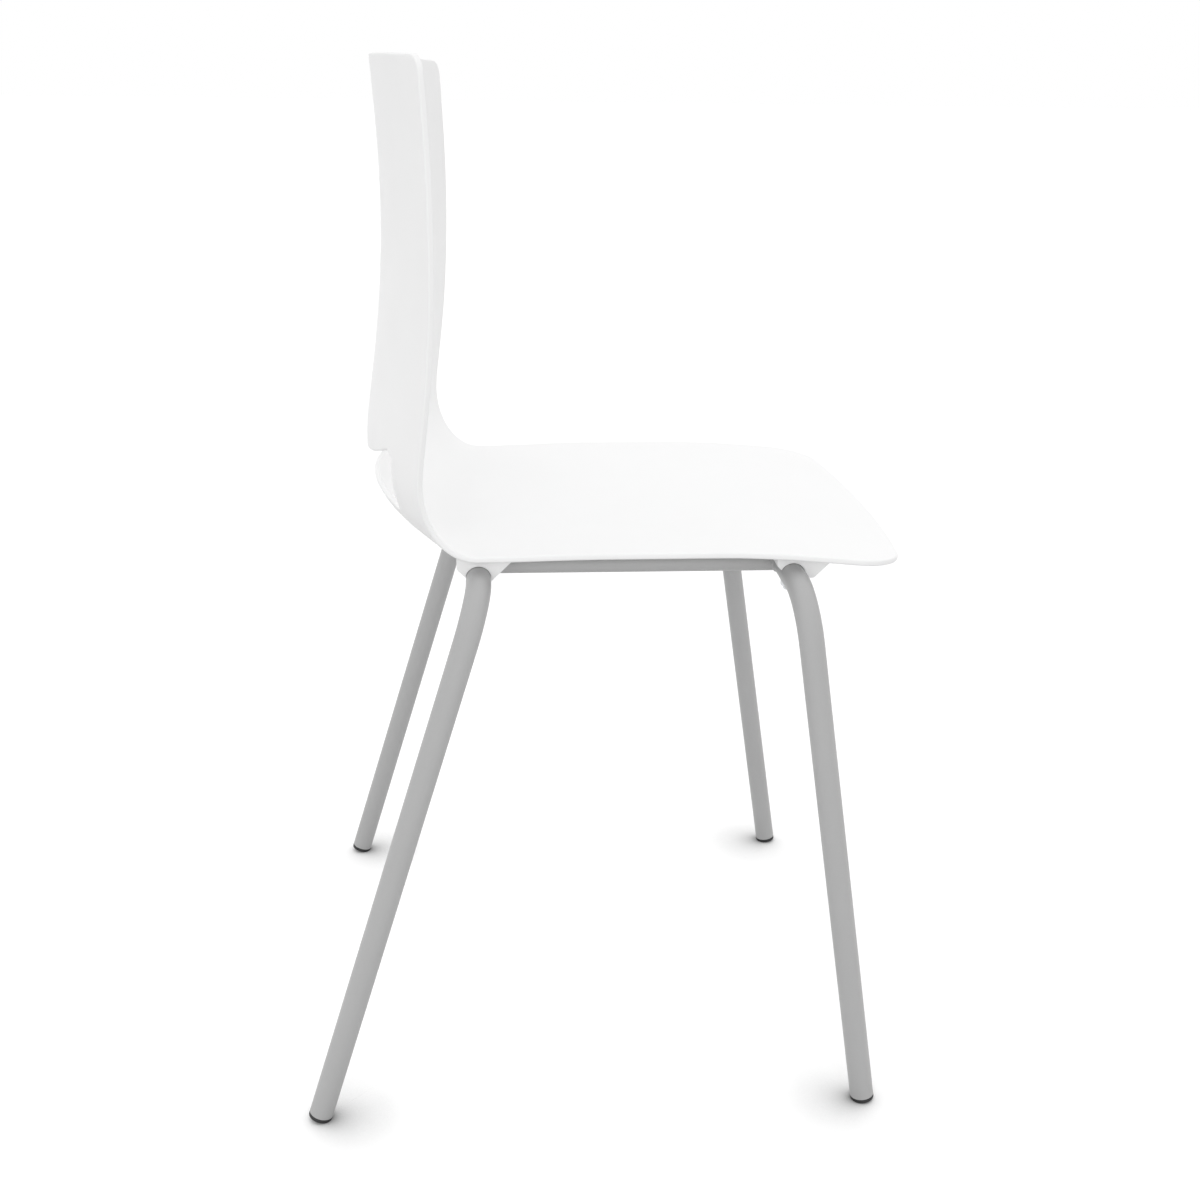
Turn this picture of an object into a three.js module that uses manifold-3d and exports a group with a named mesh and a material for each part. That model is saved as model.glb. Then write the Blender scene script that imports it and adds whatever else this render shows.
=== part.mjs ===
// Stacking chair: a one-piece moulded seat and back on a welded frame of bent round tube.
// Millimetres, +Z up, +X to the front of the chair, +Y to the sitter's left.
// The chair stands on z = 0, with the middle of its outer box over the origin.
import * as THREE from "three";
import { mergeVertices } from "three/addons/utils/BufferGeometryUtils.js";
import Module from "manifold-3d";

const wasm = await Module();
wasm.setup();

// ---- Driving dimensions ----

// Frame: two bent leg loops and the two straight rails between them.
const TUBE_DIAMETER = 20;
const TUBE_WALL = 1.5;
const BEND_RADIUS = 38; // to the tube's axis
const CROSS_TUBE_HEIGHT = 452.5; // axis above the floor
const CROSS_TUBE_SPACING = 250; // rear axis to front axis
const FRAME_WIDTH = 458.6; // between the leg axes, at the height of the cross tubes
const REAR_LEG_LEAN = 17; // degrees back from the vertical
const FRONT_LEG_LEAN = 9.1; // degrees forward from the vertical
const LEG_SPLAY = 0.77; // degrees outward from the vertical
const RAIL_DIAMETER = 16;
const RAIL_WALL = 1.5;
const RAIL_SPACING = 268; // between the rail axes

// Feet: a plug inside each tube end, with a sole as wide as the tube.
const SOLE_THICKNESS = 3.4;
const SOLE_FLAT = 5; // width of the level flat that the sole stands on
const PLUG_LENGTH = 18;

// Shell: its side profile is that of its side edge, at the middle of the wall.
const SHELL_WALL = 4.8;
const SHELL_TOP = 843; // top of the back above the floor
const UNDER_SEAT_GAP = 1.5; // from the rear cross tube up to the shell between the saddles
const LUMBAR_RISE = 243; // where the back stands farthest forward, above the seat's side edge
const WAIST_RISE = 57; // where the back stands farthest to the rear, above the seat's side edge
const WAIST_SETBACK = 42.5; // waist behind the rear cross tube's axis
const LUMBAR_ADVANCE = 12.9; // lumbar point forward of the waist
const TOP_SETBACK = 6; // top edge behind the lumbar point
const TOP_LEAN = 4.5; // degrees back from the vertical, at the top edge
const FLAT_START = 110; // the side edge is level between these two distances
const FLAT_END = 190; // from the rear cross tube's axis
const FRONT_EDGE = 349; // seat's front edge, from the rear cross tube's axis
const FRONT_DROP = 11.6; // side edge at the front, below its level part
const PAST_TOP = 10; // the side profile runs on past the top edge
const PAST_FRONT = 3; // and past the front edge

// How strongly the side profile's curves hold their direction, as a share of their run.
const LUMBAR_HOLD = 0.6;
const WAIST_HOLD = 0.14;
const BEND_HOLD = 0.55; // makes a quarter of an ellipse
const EDGE_HOLD = 1 / 3; // of every other curve
const FRONT_FALL = 0.6; // share of the drop that the last curve's handle takes

// Depth of the shell's hollow at its middle line, from the side edge.
const TOP_DEPTH = 45;
const LUMBAR_DEPTH = 45;
const WAIST_DEPTH = 50;
const REAR_SEAT_DEPTH = 6.5;
const SEAT_DEPTH = 9;
const FRONT_SEAT_DEPTH = 8;
const FRONT_DEPTH = 4;
const BEND_LAG = 1.3; // above 1, the hollow keeps its depth far down into the bend

// Width of the shell from side edge to side edge.
const BACK_WIDTH = 430;
const LOW_BACK_WIDTH = 420; // halfway from the lumbar point to the waist
const WAIST_WIDTH = 400;
const REAR_SEAT_WIDTH = 382;
const SEAT_WIDTH = 386;
const FRONT_WIDTH = 392;

// Top and front edges: bowed between two round corners.
const TOP_BOW = 2.5;
const TOP_CORNER_RADIUS = 12;
const FRONT_BOW = 10;
const FRONT_CORNER_RADIUS = 45;

// Opening between the seat and the back: both its long edges are highest or lowest at the middle.
const OPENING_WIDTH = 298;
const OPENING_RISE = 26.5; // ends of the lower edge above the seat's side edge
const OPENING_LIP_BOW = 4; // lower edge, at the middle above its ends
const OPENING_MIDDLE_HEIGHT = 25; // middle of the upper edge above the ends of the lower edge
const OPENING_END_HEIGHT = 46;
const OPENING_CORNER_RADIUS = 12;

// Saddles between the cross tubes and the shell, measured from the tube's axis.
const SADDLE_LENGTH = 28; // along the cross tube
const SADDLE_SPACING = 322; // between the middles of a left and a right saddle
const SADDLE_DROP = 2; // its lips below the tube's axis
const SADDLE_FLARE = 45; // degrees that its sloping sides lean out from the vertical
const SADDLE_FOOT = { rear: { back: 9, front: 12 }, front: { back: 5, front: 19 } };
const SADDLE_REACH = { rear: { back: 17, front: 30 }, front: { back: 13, front: 36 } };

// Fastenings: one screw through each saddle, up into a boss under the shell.
const SCREW_DIAMETER = 5;
const SCREW_POINT_DIAMETER = 2.5;
const SCREW_POINT_LENGTH = 1.25;
const SCREW_GRIP = 6.5; // thread inside the boss
const SCREW_HEAD_DIAMETER = 9.5;
const SCREW_HEAD_HEIGHT = 3.2;
const SCREW_HEAD_ROUNDING = 1;
const SOCKET_WIDTH = 3; // across the flats of the hexagon socket
const SOCKET_DEPTH = 1.8;
const WASHER_DIAMETER = 14;
const WASHER_THICKNESS = 2; // under the tube's lowest line
const WASHER_WRAP = 3; // how far its rim rises round the tube
const BOSS_DIAMETER = 12;

const CLEARANCE = 0.3; // between any two pieces that meet

// ---- Smoothness of the round surfaces ----

const TUBE_SIDES = 16;
const BEND_STEPS = 8;
const ROUND_SIDES = 16;
const CORNER_SIDES = 8; // in a rounded corner or a bowed edge
const SCREW_HEAD_STEPS = 4;
const SHELL_COLUMNS = 20;
const SHELL_ROWS = [7, 12, 14, 7, 3, 8]; // one number for each stretch of the side profile

// ---- Sizes that follow ----

const TUBE_RADIUS = TUBE_DIAMETER / 2;
const TUBE_TOP = CROSS_TUBE_HEIGHT + TUBE_RADIUS;
const TUBE_BOTTOM = CROSS_TUBE_HEIGHT - TUBE_RADIUS;
const SEAT_FLOOR = TUBE_TOP + UNDER_SEAT_GAP + SHELL_WALL / 2; // middle line over the rear tube
const SEAT_EDGE = SEAT_FLOOR + SEAT_DEPTH; // side edge where it is level
const REAR_EDGE = SEAT_FLOOR + REAR_SEAT_DEPTH; // side edge over the rear tube
const BEYOND = 30; // how far a cutting shape reaches past what it cuts
const ABOVE_SHELL = 15; // thickness of the shape that clears what stands above the shell
const WELD_DISTANCE = 1e-4; // points of a surface closer than this are one point
const SLOPE_STEP = { along: 0.2, across: 0.02 }; // over which the shell's slopes are taken
const LEAN = { rear: -REAR_LEG_LEAN, front: FRONT_LEG_LEAN };
const CROSS_TUBE_X = { rear: 0, front: CROSS_TUBE_SPACING };
const SIDE = { left: 1, right: -1 };

const { degToRad, lerp, smoothstep } = THREE.MathUtils;

// ---- Solids: three.js geometry in, three.js geometry out, joined and cut in between ----

function solidOf(geometry) {
  const bare = geometry.clone();
  bare.deleteAttribute("normal");
  bare.deleteAttribute("uv");
  const merged = mergeVertices(bare, WELD_DISTANCE);
  return new wasm.Manifold(
    new wasm.Mesh({
      numProp: 3,
      vertProperties: new Float32Array(merged.attributes.position.array),
      triVerts: new Uint32Array(merged.index.array),
    }),
  );
}

function meshOf(name, solid, material) {
  const { vertProperties, triVerts } = solid.getMesh();
  const geometry = new THREE.BufferGeometry();
  geometry.setAttribute("position", new THREE.BufferAttribute(vertProperties, 3));
  geometry.setIndex(new THREE.BufferAttribute(triVerts, 1));
  geometry.computeVertexNormals();
  const mesh = new THREE.Mesh(geometry, material);
  mesh.name = name;
  return mesh;
}

// A round rod between two points.
function rod(from, to, radius, sides = ROUND_SIDES) {
  const along = new THREE.Vector3().subVectors(to, from);
  const geometry = new THREE.CylinderGeometry(radius, radius, along.length(), sides);
  const up = new THREE.Vector3(0, 1, 0);
  geometry.applyQuaternion(new THREE.Quaternion().setFromUnitVectors(up, along.clone().normalize()));
  geometry.translate(...along.multiplyScalar(0.5).add(from).toArray());
  return solidOf(geometry);
}

function uprightRod(x, y, bottom, top, radius, sides) {
  return rod(new THREE.Vector3(x, y, bottom), new THREE.Vector3(x, y, top), radius, sides);
}

// A level slab, wide enough to reach every foot.
function levelSlab(bottom, top) {
  const across = 4 * CROSS_TUBE_HEIGHT;
  const geometry = new THREE.BoxGeometry(across, across, top - bottom);
  geometry.translate(0, 0, (bottom + top) / 2);
  return solidOf(geometry);
}

// An outline in the x-z plane, extruded along y about the middle given.
function extrudeAcross(outline, width, middleY) {
  const geometry = new THREE.ExtrudeGeometry(outline, { depth: width, bevelEnabled: false });
  geometry.rotateX(Math.PI / 2);
  geometry.translate(0, middleY + width / 2, 0);
  return solidOf(geometry);
}

// An outline in the y-z plane, extruded along x.
function extrudeForward(outline, fromX, toX, curveSegments) {
  const settings = { depth: toX - fromX, bevelEnabled: false, curveSegments };
  const geometry = new THREE.ExtrudeGeometry(outline, settings);
  const axes = new THREE.Matrix4().makeBasis(
    new THREE.Vector3(0, 1, 0),
    new THREE.Vector3(0, 0, 1),
    new THREE.Vector3(1, 0, 0),
  );
  geometry.applyMatrix4(axes);
  geometry.translate(fromX, 0, 0);
  return solidOf(geometry);
}

// ---- Frame ----

// A path of straight stretches with round bends at its inner corners.
class BentPath extends THREE.Curve {
  constructor(corners, radius) {
    super();
    this.points = [corners[0]];
    for (let i = 1; i < corners.length - 1; i++) {
      this.points.push(...bendPoints(corners[i - 1], corners[i], corners[i + 1], radius));
    }
    this.points.push(corners[corners.length - 1]);
  }

  getPoint(t, target = new THREE.Vector3()) {
    const last = this.points.length - 1;
    const index = Math.min(Math.floor(t * last), last - 1);
    return target.lerpVectors(this.points[index], this.points[index + 1], t * last - index);
  }

  // Steps go from point to point, so that long straight stretches take one step each.
  getUtoTmapping(u) {
    return u;
  }
}

function bendPoints(before, corner, after, radius) {
  const inward = new THREE.Vector3().subVectors(corner, before).normalize();
  const outward = new THREE.Vector3().subVectors(after, corner).normalize();
  const turn = inward.angleTo(outward);
  const start = corner.clone().addScaledVector(inward, -radius * Math.tan(turn / 2));
  const toCentre = outward.clone().addScaledVector(inward, -outward.dot(inward)).normalize();
  const points = [];
  for (let i = 0; i <= BEND_STEPS; i++) {
    const angle = (turn * i) / BEND_STEPS;
    const point = start.clone().addScaledVector(inward, radius * Math.sin(angle));
    points.push(point.addScaledVector(toCentre, radius * (1 - Math.cos(angle))));
  }
  return points;
}

// A point on a leg's axis, at the height given.
function legPoint(end, side, height) {
  const fall = CROSS_TUBE_HEIGHT - height;
  const x = CROSS_TUBE_X[end] + Math.tan(degToRad(LEAN[end])) * fall;
  const y = SIDE[side] * (FRAME_WIDTH / 2 + Math.tan(degToRad(LEG_SPLAY)) * fall);
  return new THREE.Vector3(x, y, height);
}

// A point on a leg's axis, at a distance along it from the underside of its sole. The sole is square to the
// leg, so it would stand on its rim: the floor cuts a flat there.
function footPoint(end, side, distance) {
  const upward = legPoint(end, side, 1).sub(legPoint(end, side, 0)).normalize();
  const tilt = Math.sqrt(1 - upward.z ** 2);
  const middle = legPoint(end, side, (TUBE_RADIUS - SOLE_FLAT) * tilt);
  return middle.addScaledVector(upward, distance);
}

function crossTubeRod(end, radius) {
  const reach = FRAME_WIDTH / 2;
  const from = new THREE.Vector3(CROSS_TUBE_X[end], -reach, CROSS_TUBE_HEIGHT);
  const to = new THREE.Vector3(CROSS_TUBE_X[end], reach, CROSS_TUBE_HEIGHT);
  return rod(from, to, radius, TUBE_SIDES);
}

function legLoop(end) {
  const corners = [
    footPoint(end, "right", SOLE_THICKNESS + CLEARANCE),
    legPoint(end, "right", CROSS_TUBE_HEIGHT),
    legPoint(end, "left", CROSS_TUBE_HEIGHT),
    footPoint(end, "left", SOLE_THICKNESS + CLEARANCE),
  ];
  const section = new THREE.Shape().absarc(0, 0, TUBE_RADIUS, 0, 2 * Math.PI);
  section.holes.push(new THREE.Path().absarc(0, 0, TUBE_RADIUS - TUBE_WALL, 0, 2 * Math.PI));
  const path = new BentPath(corners, BEND_RADIUS);
  const geometry = new THREE.ExtrudeGeometry(section, {
    steps: path.points.length - 1,
    extrudePath: path,
    curveSegments: TUBE_SIDES / 2,
  });
  let loop = solidOf(geometry);
  for (const side of Object.keys(SIDE)) {
    loop = loop.subtract(screwHole(end, side));
  }
  return loop;
}

// A straight rail, with its ends hollowed to lie against the cross tubes.
function sideRail(side) {
  const y = (SIDE[side] * RAIL_SPACING) / 2;
  const rear = new THREE.Vector3(CROSS_TUBE_X.rear, y, CROSS_TUBE_HEIGHT);
  const front = new THREE.Vector3(CROSS_TUBE_X.front, y, CROSS_TUBE_HEIGHT);
  const bore = rod(rear, front, RAIL_DIAMETER / 2 - RAIL_WALL, TUBE_SIDES);
  const fit = TUBE_RADIUS + CLEARANCE;
  return rod(rear, front, RAIL_DIAMETER / 2, TUBE_SIDES)
    .subtract(bore)
    .subtract(crossTubeRod("rear", fit))
    .subtract(crossTubeRod("front", fit));
}

// ---- Feet ----

function footGlide(end, side) {
  const under = footPoint(end, side, 0);
  const shoulder = footPoint(end, side, SOLE_THICKNESS);
  const middle = footPoint(end, side, SOLE_THICKNESS / 2);
  const top = footPoint(end, side, SOLE_THICKNESS + PLUG_LENGTH);
  const sole = rod(under, shoulder, TUBE_RADIUS, TUBE_SIDES).intersect(levelSlab(0, TUBE_DIAMETER));
  return sole.add(rod(middle, top, TUBE_RADIUS - TUBE_WALL - CLEARANCE, TUBE_SIDES));
}

// ---- Shell ----

const point2 = (x, z) => new THREE.Vector2(x, z);

// The side edge seen from the side, from the top of the back to the front of the seat.
function sideProfile() {
  const waist = point2(-WAIST_SETBACK, SEAT_EDGE + WAIST_RISE);
  const lumbar = point2(waist.x + LUMBAR_ADVANCE, SEAT_EDGE + LUMBAR_RISE);
  const top = point2(lumbar.x - TOP_SETBACK, SHELL_TOP + PAST_TOP);
  const rear = point2(CROSS_TUBE_X.rear, REAR_EDGE);
  const flatStart = point2(FLAT_START, SEAT_EDGE);
  const flatEnd = point2(FLAT_END, SEAT_EDGE);
  const front = point2(FRONT_EDGE + PAST_FRONT, SEAT_EDGE - FRONT_DROP);
  const topPull = EDGE_HOLD * (top.y - lumbar.y);
  const backRun = lumbar.y - waist.y;
  const seatPull = EDGE_HOLD * (flatStart.x - rear.x);
  const frontPull = EDGE_HOLD * (front.x - flatEnd.x);
  const profile = new THREE.CurvePath();
  profile.add(
    new THREE.CubicBezierCurve(
      top,
      point2(top.x + topPull * Math.tan(degToRad(TOP_LEAN)), top.y - topPull),
      point2(lumbar.x, lumbar.y + topPull),
      lumbar,
    ),
  );
  profile.add(
    new THREE.CubicBezierCurve(
      lumbar,
      point2(lumbar.x, lumbar.y - LUMBAR_HOLD * backRun),
      point2(waist.x, waist.y + WAIST_HOLD * backRun),
      waist,
    ),
  );
  profile.add(
    new THREE.CubicBezierCurve(
      waist,
      point2(waist.x, lerp(waist.y, rear.y, BEND_HOLD)),
      point2(lerp(rear.x, waist.x, BEND_HOLD), rear.y),
      rear,
    ),
  );
  profile.add(
    new THREE.CubicBezierCurve(
      rear,
      point2(rear.x + seatPull, rear.y),
      point2(flatStart.x - seatPull, flatStart.y),
      flatStart,
    ),
  );
  profile.add(new THREE.LineCurve(flatStart, flatEnd));
  profile.add(
    new THREE.CubicBezierCurve(
      flatEnd,
      point2(flatEnd.x + frontPull, flatEnd.y),
      point2(front.x - frontPull, lerp(flatEnd.y, front.y, FRONT_FALL)),
      front,
    ),
  );
  return profile;
}

const profile = sideProfile();
const STATIONS = [0, ...profile.getCurveLengths()]; // distance along the profile at each joint
const PROFILE_LENGTH = STATIONS[STATIONS.length - 1];

const [TOP, LUMBAR, WAIST, REAR, FLAT_FROM, FLAT_TO, FRONT] = STATIONS;

// A smooth curve through one value at each of the distances given, level at both ends.
function smoothThrough(distances, values) {
  const last = distances.length - 1;
  const slopes = values.map((value, i) => {
    if (i === 0 || i === last) {
      return 0;
    }
    return (values[i + 1] - values[i - 1]) / (distances[i + 1] - distances[i - 1]);
  });
  return (distance) => {
    let i = 0;
    while (i < last - 1 && distance > distances[i + 1]) {
      i++;
    }
    const span = distances[i + 1] - distances[i];
    const t = (distance - distances[i]) / span;
    const u = 1 - t;
    const level = values[i] * (1 + 2 * t) * u * u + values[i + 1] * (3 - 2 * t) * t * t;
    return level + span * t * u * (slopes[i] * u - slopes[i + 1] * t);
  };
}

const backDepth = smoothThrough([TOP, LUMBAR, WAIST], [TOP_DEPTH, LUMBAR_DEPTH, WAIST_DEPTH]);

const seatDepth = smoothThrough(
  [REAR, FLAT_FROM, FLAT_TO, FRONT],
  [REAR_SEAT_DEPTH, SEAT_DEPTH, FRONT_SEAT_DEPTH, FRONT_DEPTH],
);

function depthAt(distance) {
  if (distance < WAIST) {
    return backDepth(distance);
  }
  if (distance > REAR) {
    return seatDepth(distance);
  }
  const share = (distance - WAIST) / (REAR - WAIST);
  return lerp(WAIST_DEPTH, REAR_SEAT_DEPTH, smoothstep(share ** BEND_LAG, 0, 1));
}

const widthAt = smoothThrough(
  [TOP, LUMBAR, lerp(LUMBAR, WAIST, 0.5), WAIST, REAR, FLAT_FROM, FLAT_TO, FRONT],
  [
    BACK_WIDTH,
    BACK_WIDTH,
    LOW_BACK_WIDTH,
    WAIST_WIDTH,
    REAR_SEAT_WIDTH,
    SEAT_WIDTH,
    SEAT_WIDTH,
    FRONT_WIDTH,
  ],
);

// A point of the shell's middle surface: distance along the profile, and -1 to 1 across.
function shellPoint(distance, across) {
  const t = THREE.MathUtils.clamp(distance / PROFILE_LENGTH, 0, 1);
  const edge = profile.getPoint(t);
  const tangent = profile.getTangent(t);
  const depth = depthAt(distance) * (1 - across * across);
  return new THREE.Vector3(
    edge.x + tangent.y * depth,
    (widthAt(distance) / 2) * across,
    edge.y - tangent.x * depth,
  );
}

// The direction towards the sitter.
function shellNormal(distance, across) {
  const before = Math.max(distance - SLOPE_STEP.along, 0);
  const after = Math.min(distance + SLOPE_STEP.along, PROFILE_LENGTH);
  const along = shellPoint(after, across).sub(shellPoint(before, across));
  const right = shellPoint(distance, across - SLOPE_STEP.across);
  const sideways = shellPoint(distance, across + SLOPE_STEP.across).sub(right);
  return along.cross(sideways).normalize();
}

function shellRows() {
  const rows = [];
  SHELL_ROWS.forEach((count, i) => {
    for (let step = 0; step < count; step++) {
      rows.push(lerp(STATIONS[i], STATIONS[i + 1], step / count));
    }
  });
  return [...rows, PROFILE_LENGTH];
}

// A closed solid between two offsets from the middle surface, towards the sitter.
function shellLayer(lower, upper) {
  const rows = shellRows();
  const columns = SHELL_COLUMNS + 1;
  const positions = [];
  for (const offset of [lower, upper]) {
    for (const distance of rows) {
      for (let column = 0; column < columns; column++) {
        const across = (2 * column) / SHELL_COLUMNS - 1;
        const normal = shellNormal(distance, across);
        positions.push(...shellPoint(distance, across).addScaledVector(normal, offset).toArray());
      }
    }
  }
  const layer = rows.length * columns;
  const indices = [];
  const quad = (a, b, c, d) => indices.push(a, b, c, a, c, d);
  for (let row = 0; row < rows.length - 1; row++) {
    for (let column = 0; column < SHELL_COLUMNS; column++) {
      const a = row * columns + column;
      const b = a + columns;
      quad(a, a + 1, b + 1, b);
      quad(layer + a, layer + b, layer + b + 1, layer + a + 1);
    }
    const near = row * columns;
    const far = near + SHELL_COLUMNS;
    quad(near, near + columns, layer + near + columns, layer + near);
    quad(far, layer + far, layer + far + columns, far + columns);
  }
  const end = (rows.length - 1) * columns;
  for (let column = 0; column < SHELL_COLUMNS; column++) {
    quad(column, layer + column, layer + column + 1, column + 1);
    quad(end + column, end + column + 1, layer + end + column + 1, layer + end + column);
  }
  const geometry = new THREE.BufferGeometry();
  geometry.setAttribute("position", new THREE.Float32BufferAttribute(positions, 3));
  geometry.setIndex(indices);
  return solidOf(geometry);
}

// The outline of what lies beyond a bowed edge with a round corner at each end.
// Across the edge it is centred on 0; its farthest point stands at the peak.
function beyondEdge(peak, width, radius, bow) {
  const half = width / 2 - radius;
  const turn = Math.atan((2 * bow) / half);
  const reach = half + radius * Math.sin(turn);
  const base = peak - (reach * Math.tan(turn)) / 2;
  const cornerHeight = base - radius * Math.cos(turn);
  const outline = new THREE.Shape();
  outline.moveTo(width / 2 + BEYOND, cornerHeight);
  outline.lineTo(width / 2, cornerHeight);
  outline.absarc(half, cornerHeight, radius, 0, Math.PI / 2 - turn);
  outline.quadraticCurveTo(0, base + reach * Math.tan(turn), -reach, base);
  outline.absarc(-half, cornerHeight, radius, Math.PI / 2 + turn, Math.PI);
  outline.lineTo(-width / 2 - BEYOND, cornerHeight);
  outline.lineTo(-width / 2 - BEYOND, peak + BEYOND);
  outline.lineTo(width / 2 + BEYOND, peak + BEYOND);
  return outline;
}

function topCutter() {
  const outline = beyondEdge(SHELL_TOP, BACK_WIDTH, TOP_CORNER_RADIUS, TOP_BOW);
  const rear = -WAIST_SETBACK - TOP_DEPTH - BEYOND;
  return extrudeForward(outline, rear, CROSS_TUBE_X.rear, CORNER_SIDES);
}

function frontCutter() {
  const outline = beyondEdge(FRONT_EDGE, FRONT_WIDTH, FRONT_CORNER_RADIUS, FRONT_BOW);
  const depth = 2 * BEYOND;
  const settings = { depth, bevelEnabled: false, curveSegments: CORNER_SIDES };
  const geometry = new THREE.ExtrudeGeometry(outline, settings);
  geometry.rotateZ(-Math.PI / 2);
  geometry.translate(0, 0, SEAT_EDGE - FRONT_DROP - depth / 2);
  return solidOf(geometry);
}

// The opening's outline, seen from the front.
function openingOutline() {
  const radius = OPENING_CORNER_RADIUS;
  const half = OPENING_WIDTH / 2;
  const bottom = SEAT_EDGE + OPENING_RISE;
  const rise = OPENING_END_HEIGHT - OPENING_MIDDLE_HEIGHT;
  const cornerY = half - radius;
  const lowTurn = Math.atan((2 * OPENING_LIP_BOW) / cornerY); // slope of the lower edge at its ends
  const lowReach = cornerY - radius * Math.sin(lowTurn);
  const lowEnd = bottom + radius * (1 - Math.cos(lowTurn));
  const highTurn = Math.atan((2 * rise) / half); // slope of the upper edge at its ends
  const highCorner = bottom + OPENING_END_HEIGHT - radius;
  const highReach = cornerY - radius * Math.sin(highTurn);
  const highEnd = highCorner + radius * Math.cos(highTurn);
  const outline = new THREE.Shape();
  outline.moveTo(-lowReach, lowEnd);
  outline.quadraticCurveTo(0, lowEnd + lowReach * Math.tan(lowTurn), lowReach, lowEnd);
  outline.absarc(cornerY, bottom + radius, radius, -Math.PI / 2 - lowTurn, 0);
  outline.absarc(cornerY, highCorner, radius, 0, Math.PI / 2 + highTurn);
  outline.quadraticCurveTo(0, 2 * (bottom + OPENING_MIDDLE_HEIGHT) - highEnd, -highReach, highEnd);
  outline.absarc(-cornerY, highCorner, radius, Math.PI / 2 - highTurn, Math.PI);
  outline.absarc(-cornerY, bottom + radius, radius, Math.PI, 1.5 * Math.PI + lowTurn);
  return outline;
}

// Cuts the opening straight from front to rear.
function openingCutter() {
  const outline = openingOutline();
  const rear = -WAIST_SETBACK - WAIST_DEPTH - BEYOND;
  return extrudeForward(outline, rear, CROSS_TUBE_X.rear, CORNER_SIDES);
}

function fasteningY(side) {
  return (SIDE[side] * SADDLE_SPACING) / 2;
}

function screwHole(end, side) {
  const x = CROSS_TUBE_X[end];
  const radius = SCREW_DIAMETER / 2 + CLEARANCE;
  const top = TUBE_TOP + SCREW_GRIP + 2 * CLEARANCE;
  return uprightRod(x, fasteningY(side), TUBE_BOTTOM - BEYOND, top, radius);
}

function seatShell() {
  let shell = shellLayer(-SHELL_WALL / 2, SHELL_WALL / 2)
    .subtract(topCutter())
    .subtract(frontCutter())
    .subtract(openingCutter());
  const above = shellLayer(0, ABOVE_SHELL);
  for (const end of Object.keys(LEAN)) {
    for (const side of Object.keys(SIDE)) {
      const bottom = TUBE_TOP + CLEARANCE;
      const top = SEAT_EDGE;
      const boss = uprightRod(CROSS_TUBE_X[end], fasteningY(side), bottom, top, BOSS_DIAMETER / 2);
      shell = shell.add(boss.subtract(above)).subtract(screwHole(end, side));
    }
  }
  return shell;
}

// ---- Saddles and fastenings ----

// A moulded block that holds the upper half of the cross tube and carries the shell.
function saddle(end, side, shellSide) {
  const x = CROSS_TUBE_X[end];
  const slope = Math.tan(degToRad(SADDLE_FLARE));
  const bottom = CROSS_TUBE_HEIGHT - SADDLE_DROP;
  const foot = SADDLE_FOOT[end];
  const reach = SADDLE_REACH[end];
  const outline = new THREE.Shape();
  outline.moveTo(x - foot.back + SADDLE_DROP * slope, bottom);
  outline.lineTo(x + foot.front - SADDLE_DROP * slope, bottom);
  outline.lineTo(x + reach.front, CROSS_TUBE_HEIGHT + (reach.front - foot.front) / slope);
  outline.lineTo(x + reach.front, SEAT_EDGE);
  outline.lineTo(x - reach.back, SEAT_EDGE);
  outline.lineTo(x - reach.back, CROSS_TUBE_HEIGHT + (reach.back - foot.back) / slope);
  const y = fasteningY(side);
  const bossHole = uprightRod(x, y, TUBE_TOP, SEAT_EDGE + BEYOND, BOSS_DIAMETER / 2 + CLEARANCE);
  return extrudeAcross(outline, SADDLE_LENGTH, y)
    .subtract(crossTubeRod(end, TUBE_RADIUS + CLEARANCE))
    .subtract(shellSide)
    .subtract(bossHole)
    .subtract(screwHole(end, side));
}

// A washer hollowed on top to fit the round tube.
function tubeWasher(end, side) {
  const bottom = TUBE_BOTTOM - WASHER_THICKNESS;
  const x = CROSS_TUBE_X[end];
  return uprightRod(x, fasteningY(side), bottom, TUBE_BOTTOM + WASHER_WRAP, WASHER_DIAMETER / 2)
    .subtract(crossTubeRod(end, TUBE_RADIUS + CLEARANCE))
    .subtract(screwHole(end, side));
}

// A pan-head screw, point up, with a hexagon socket in its head.
function shellScrew(end, side) {
  const seat = TUBE_BOTTOM - WASHER_THICKNESS - CLEARANCE;
  const tip = TUBE_TOP + SCREW_GRIP;
  const low = seat - SCREW_HEAD_HEIGHT;
  const head = SCREW_HEAD_DIAMETER / 2;
  const outline = new THREE.Path();
  outline.moveTo(0, low);
  outline.lineTo(head - SCREW_HEAD_ROUNDING, low);
  outline.quadraticCurveTo(head, low, head, low + SCREW_HEAD_ROUNDING);
  outline.lineTo(head, seat);
  outline.lineTo(SCREW_DIAMETER / 2, seat);
  outline.lineTo(SCREW_DIAMETER / 2, tip - SCREW_POINT_LENGTH);
  outline.lineTo(SCREW_POINT_DIAMETER / 2, tip);
  outline.lineTo(0, tip);
  const geometry = new THREE.LatheGeometry(outline.getPoints(SCREW_HEAD_STEPS), ROUND_SIDES);
  geometry.rotateX(Math.PI / 2);
  geometry.translate(CROSS_TUBE_X[end], fasteningY(side), 0);
  const corner = SOCKET_WIDTH / 2 / Math.cos(Math.PI / 6);
  const socket = uprightRod(
    CROSS_TUBE_X[end],
    fasteningY(side),
    low - SOCKET_DEPTH,
    low + SOCKET_DEPTH,
    corner,
    6,
  );
  return solidOf(geometry).subtract(socket);
}

// ---- Materials ----

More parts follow.
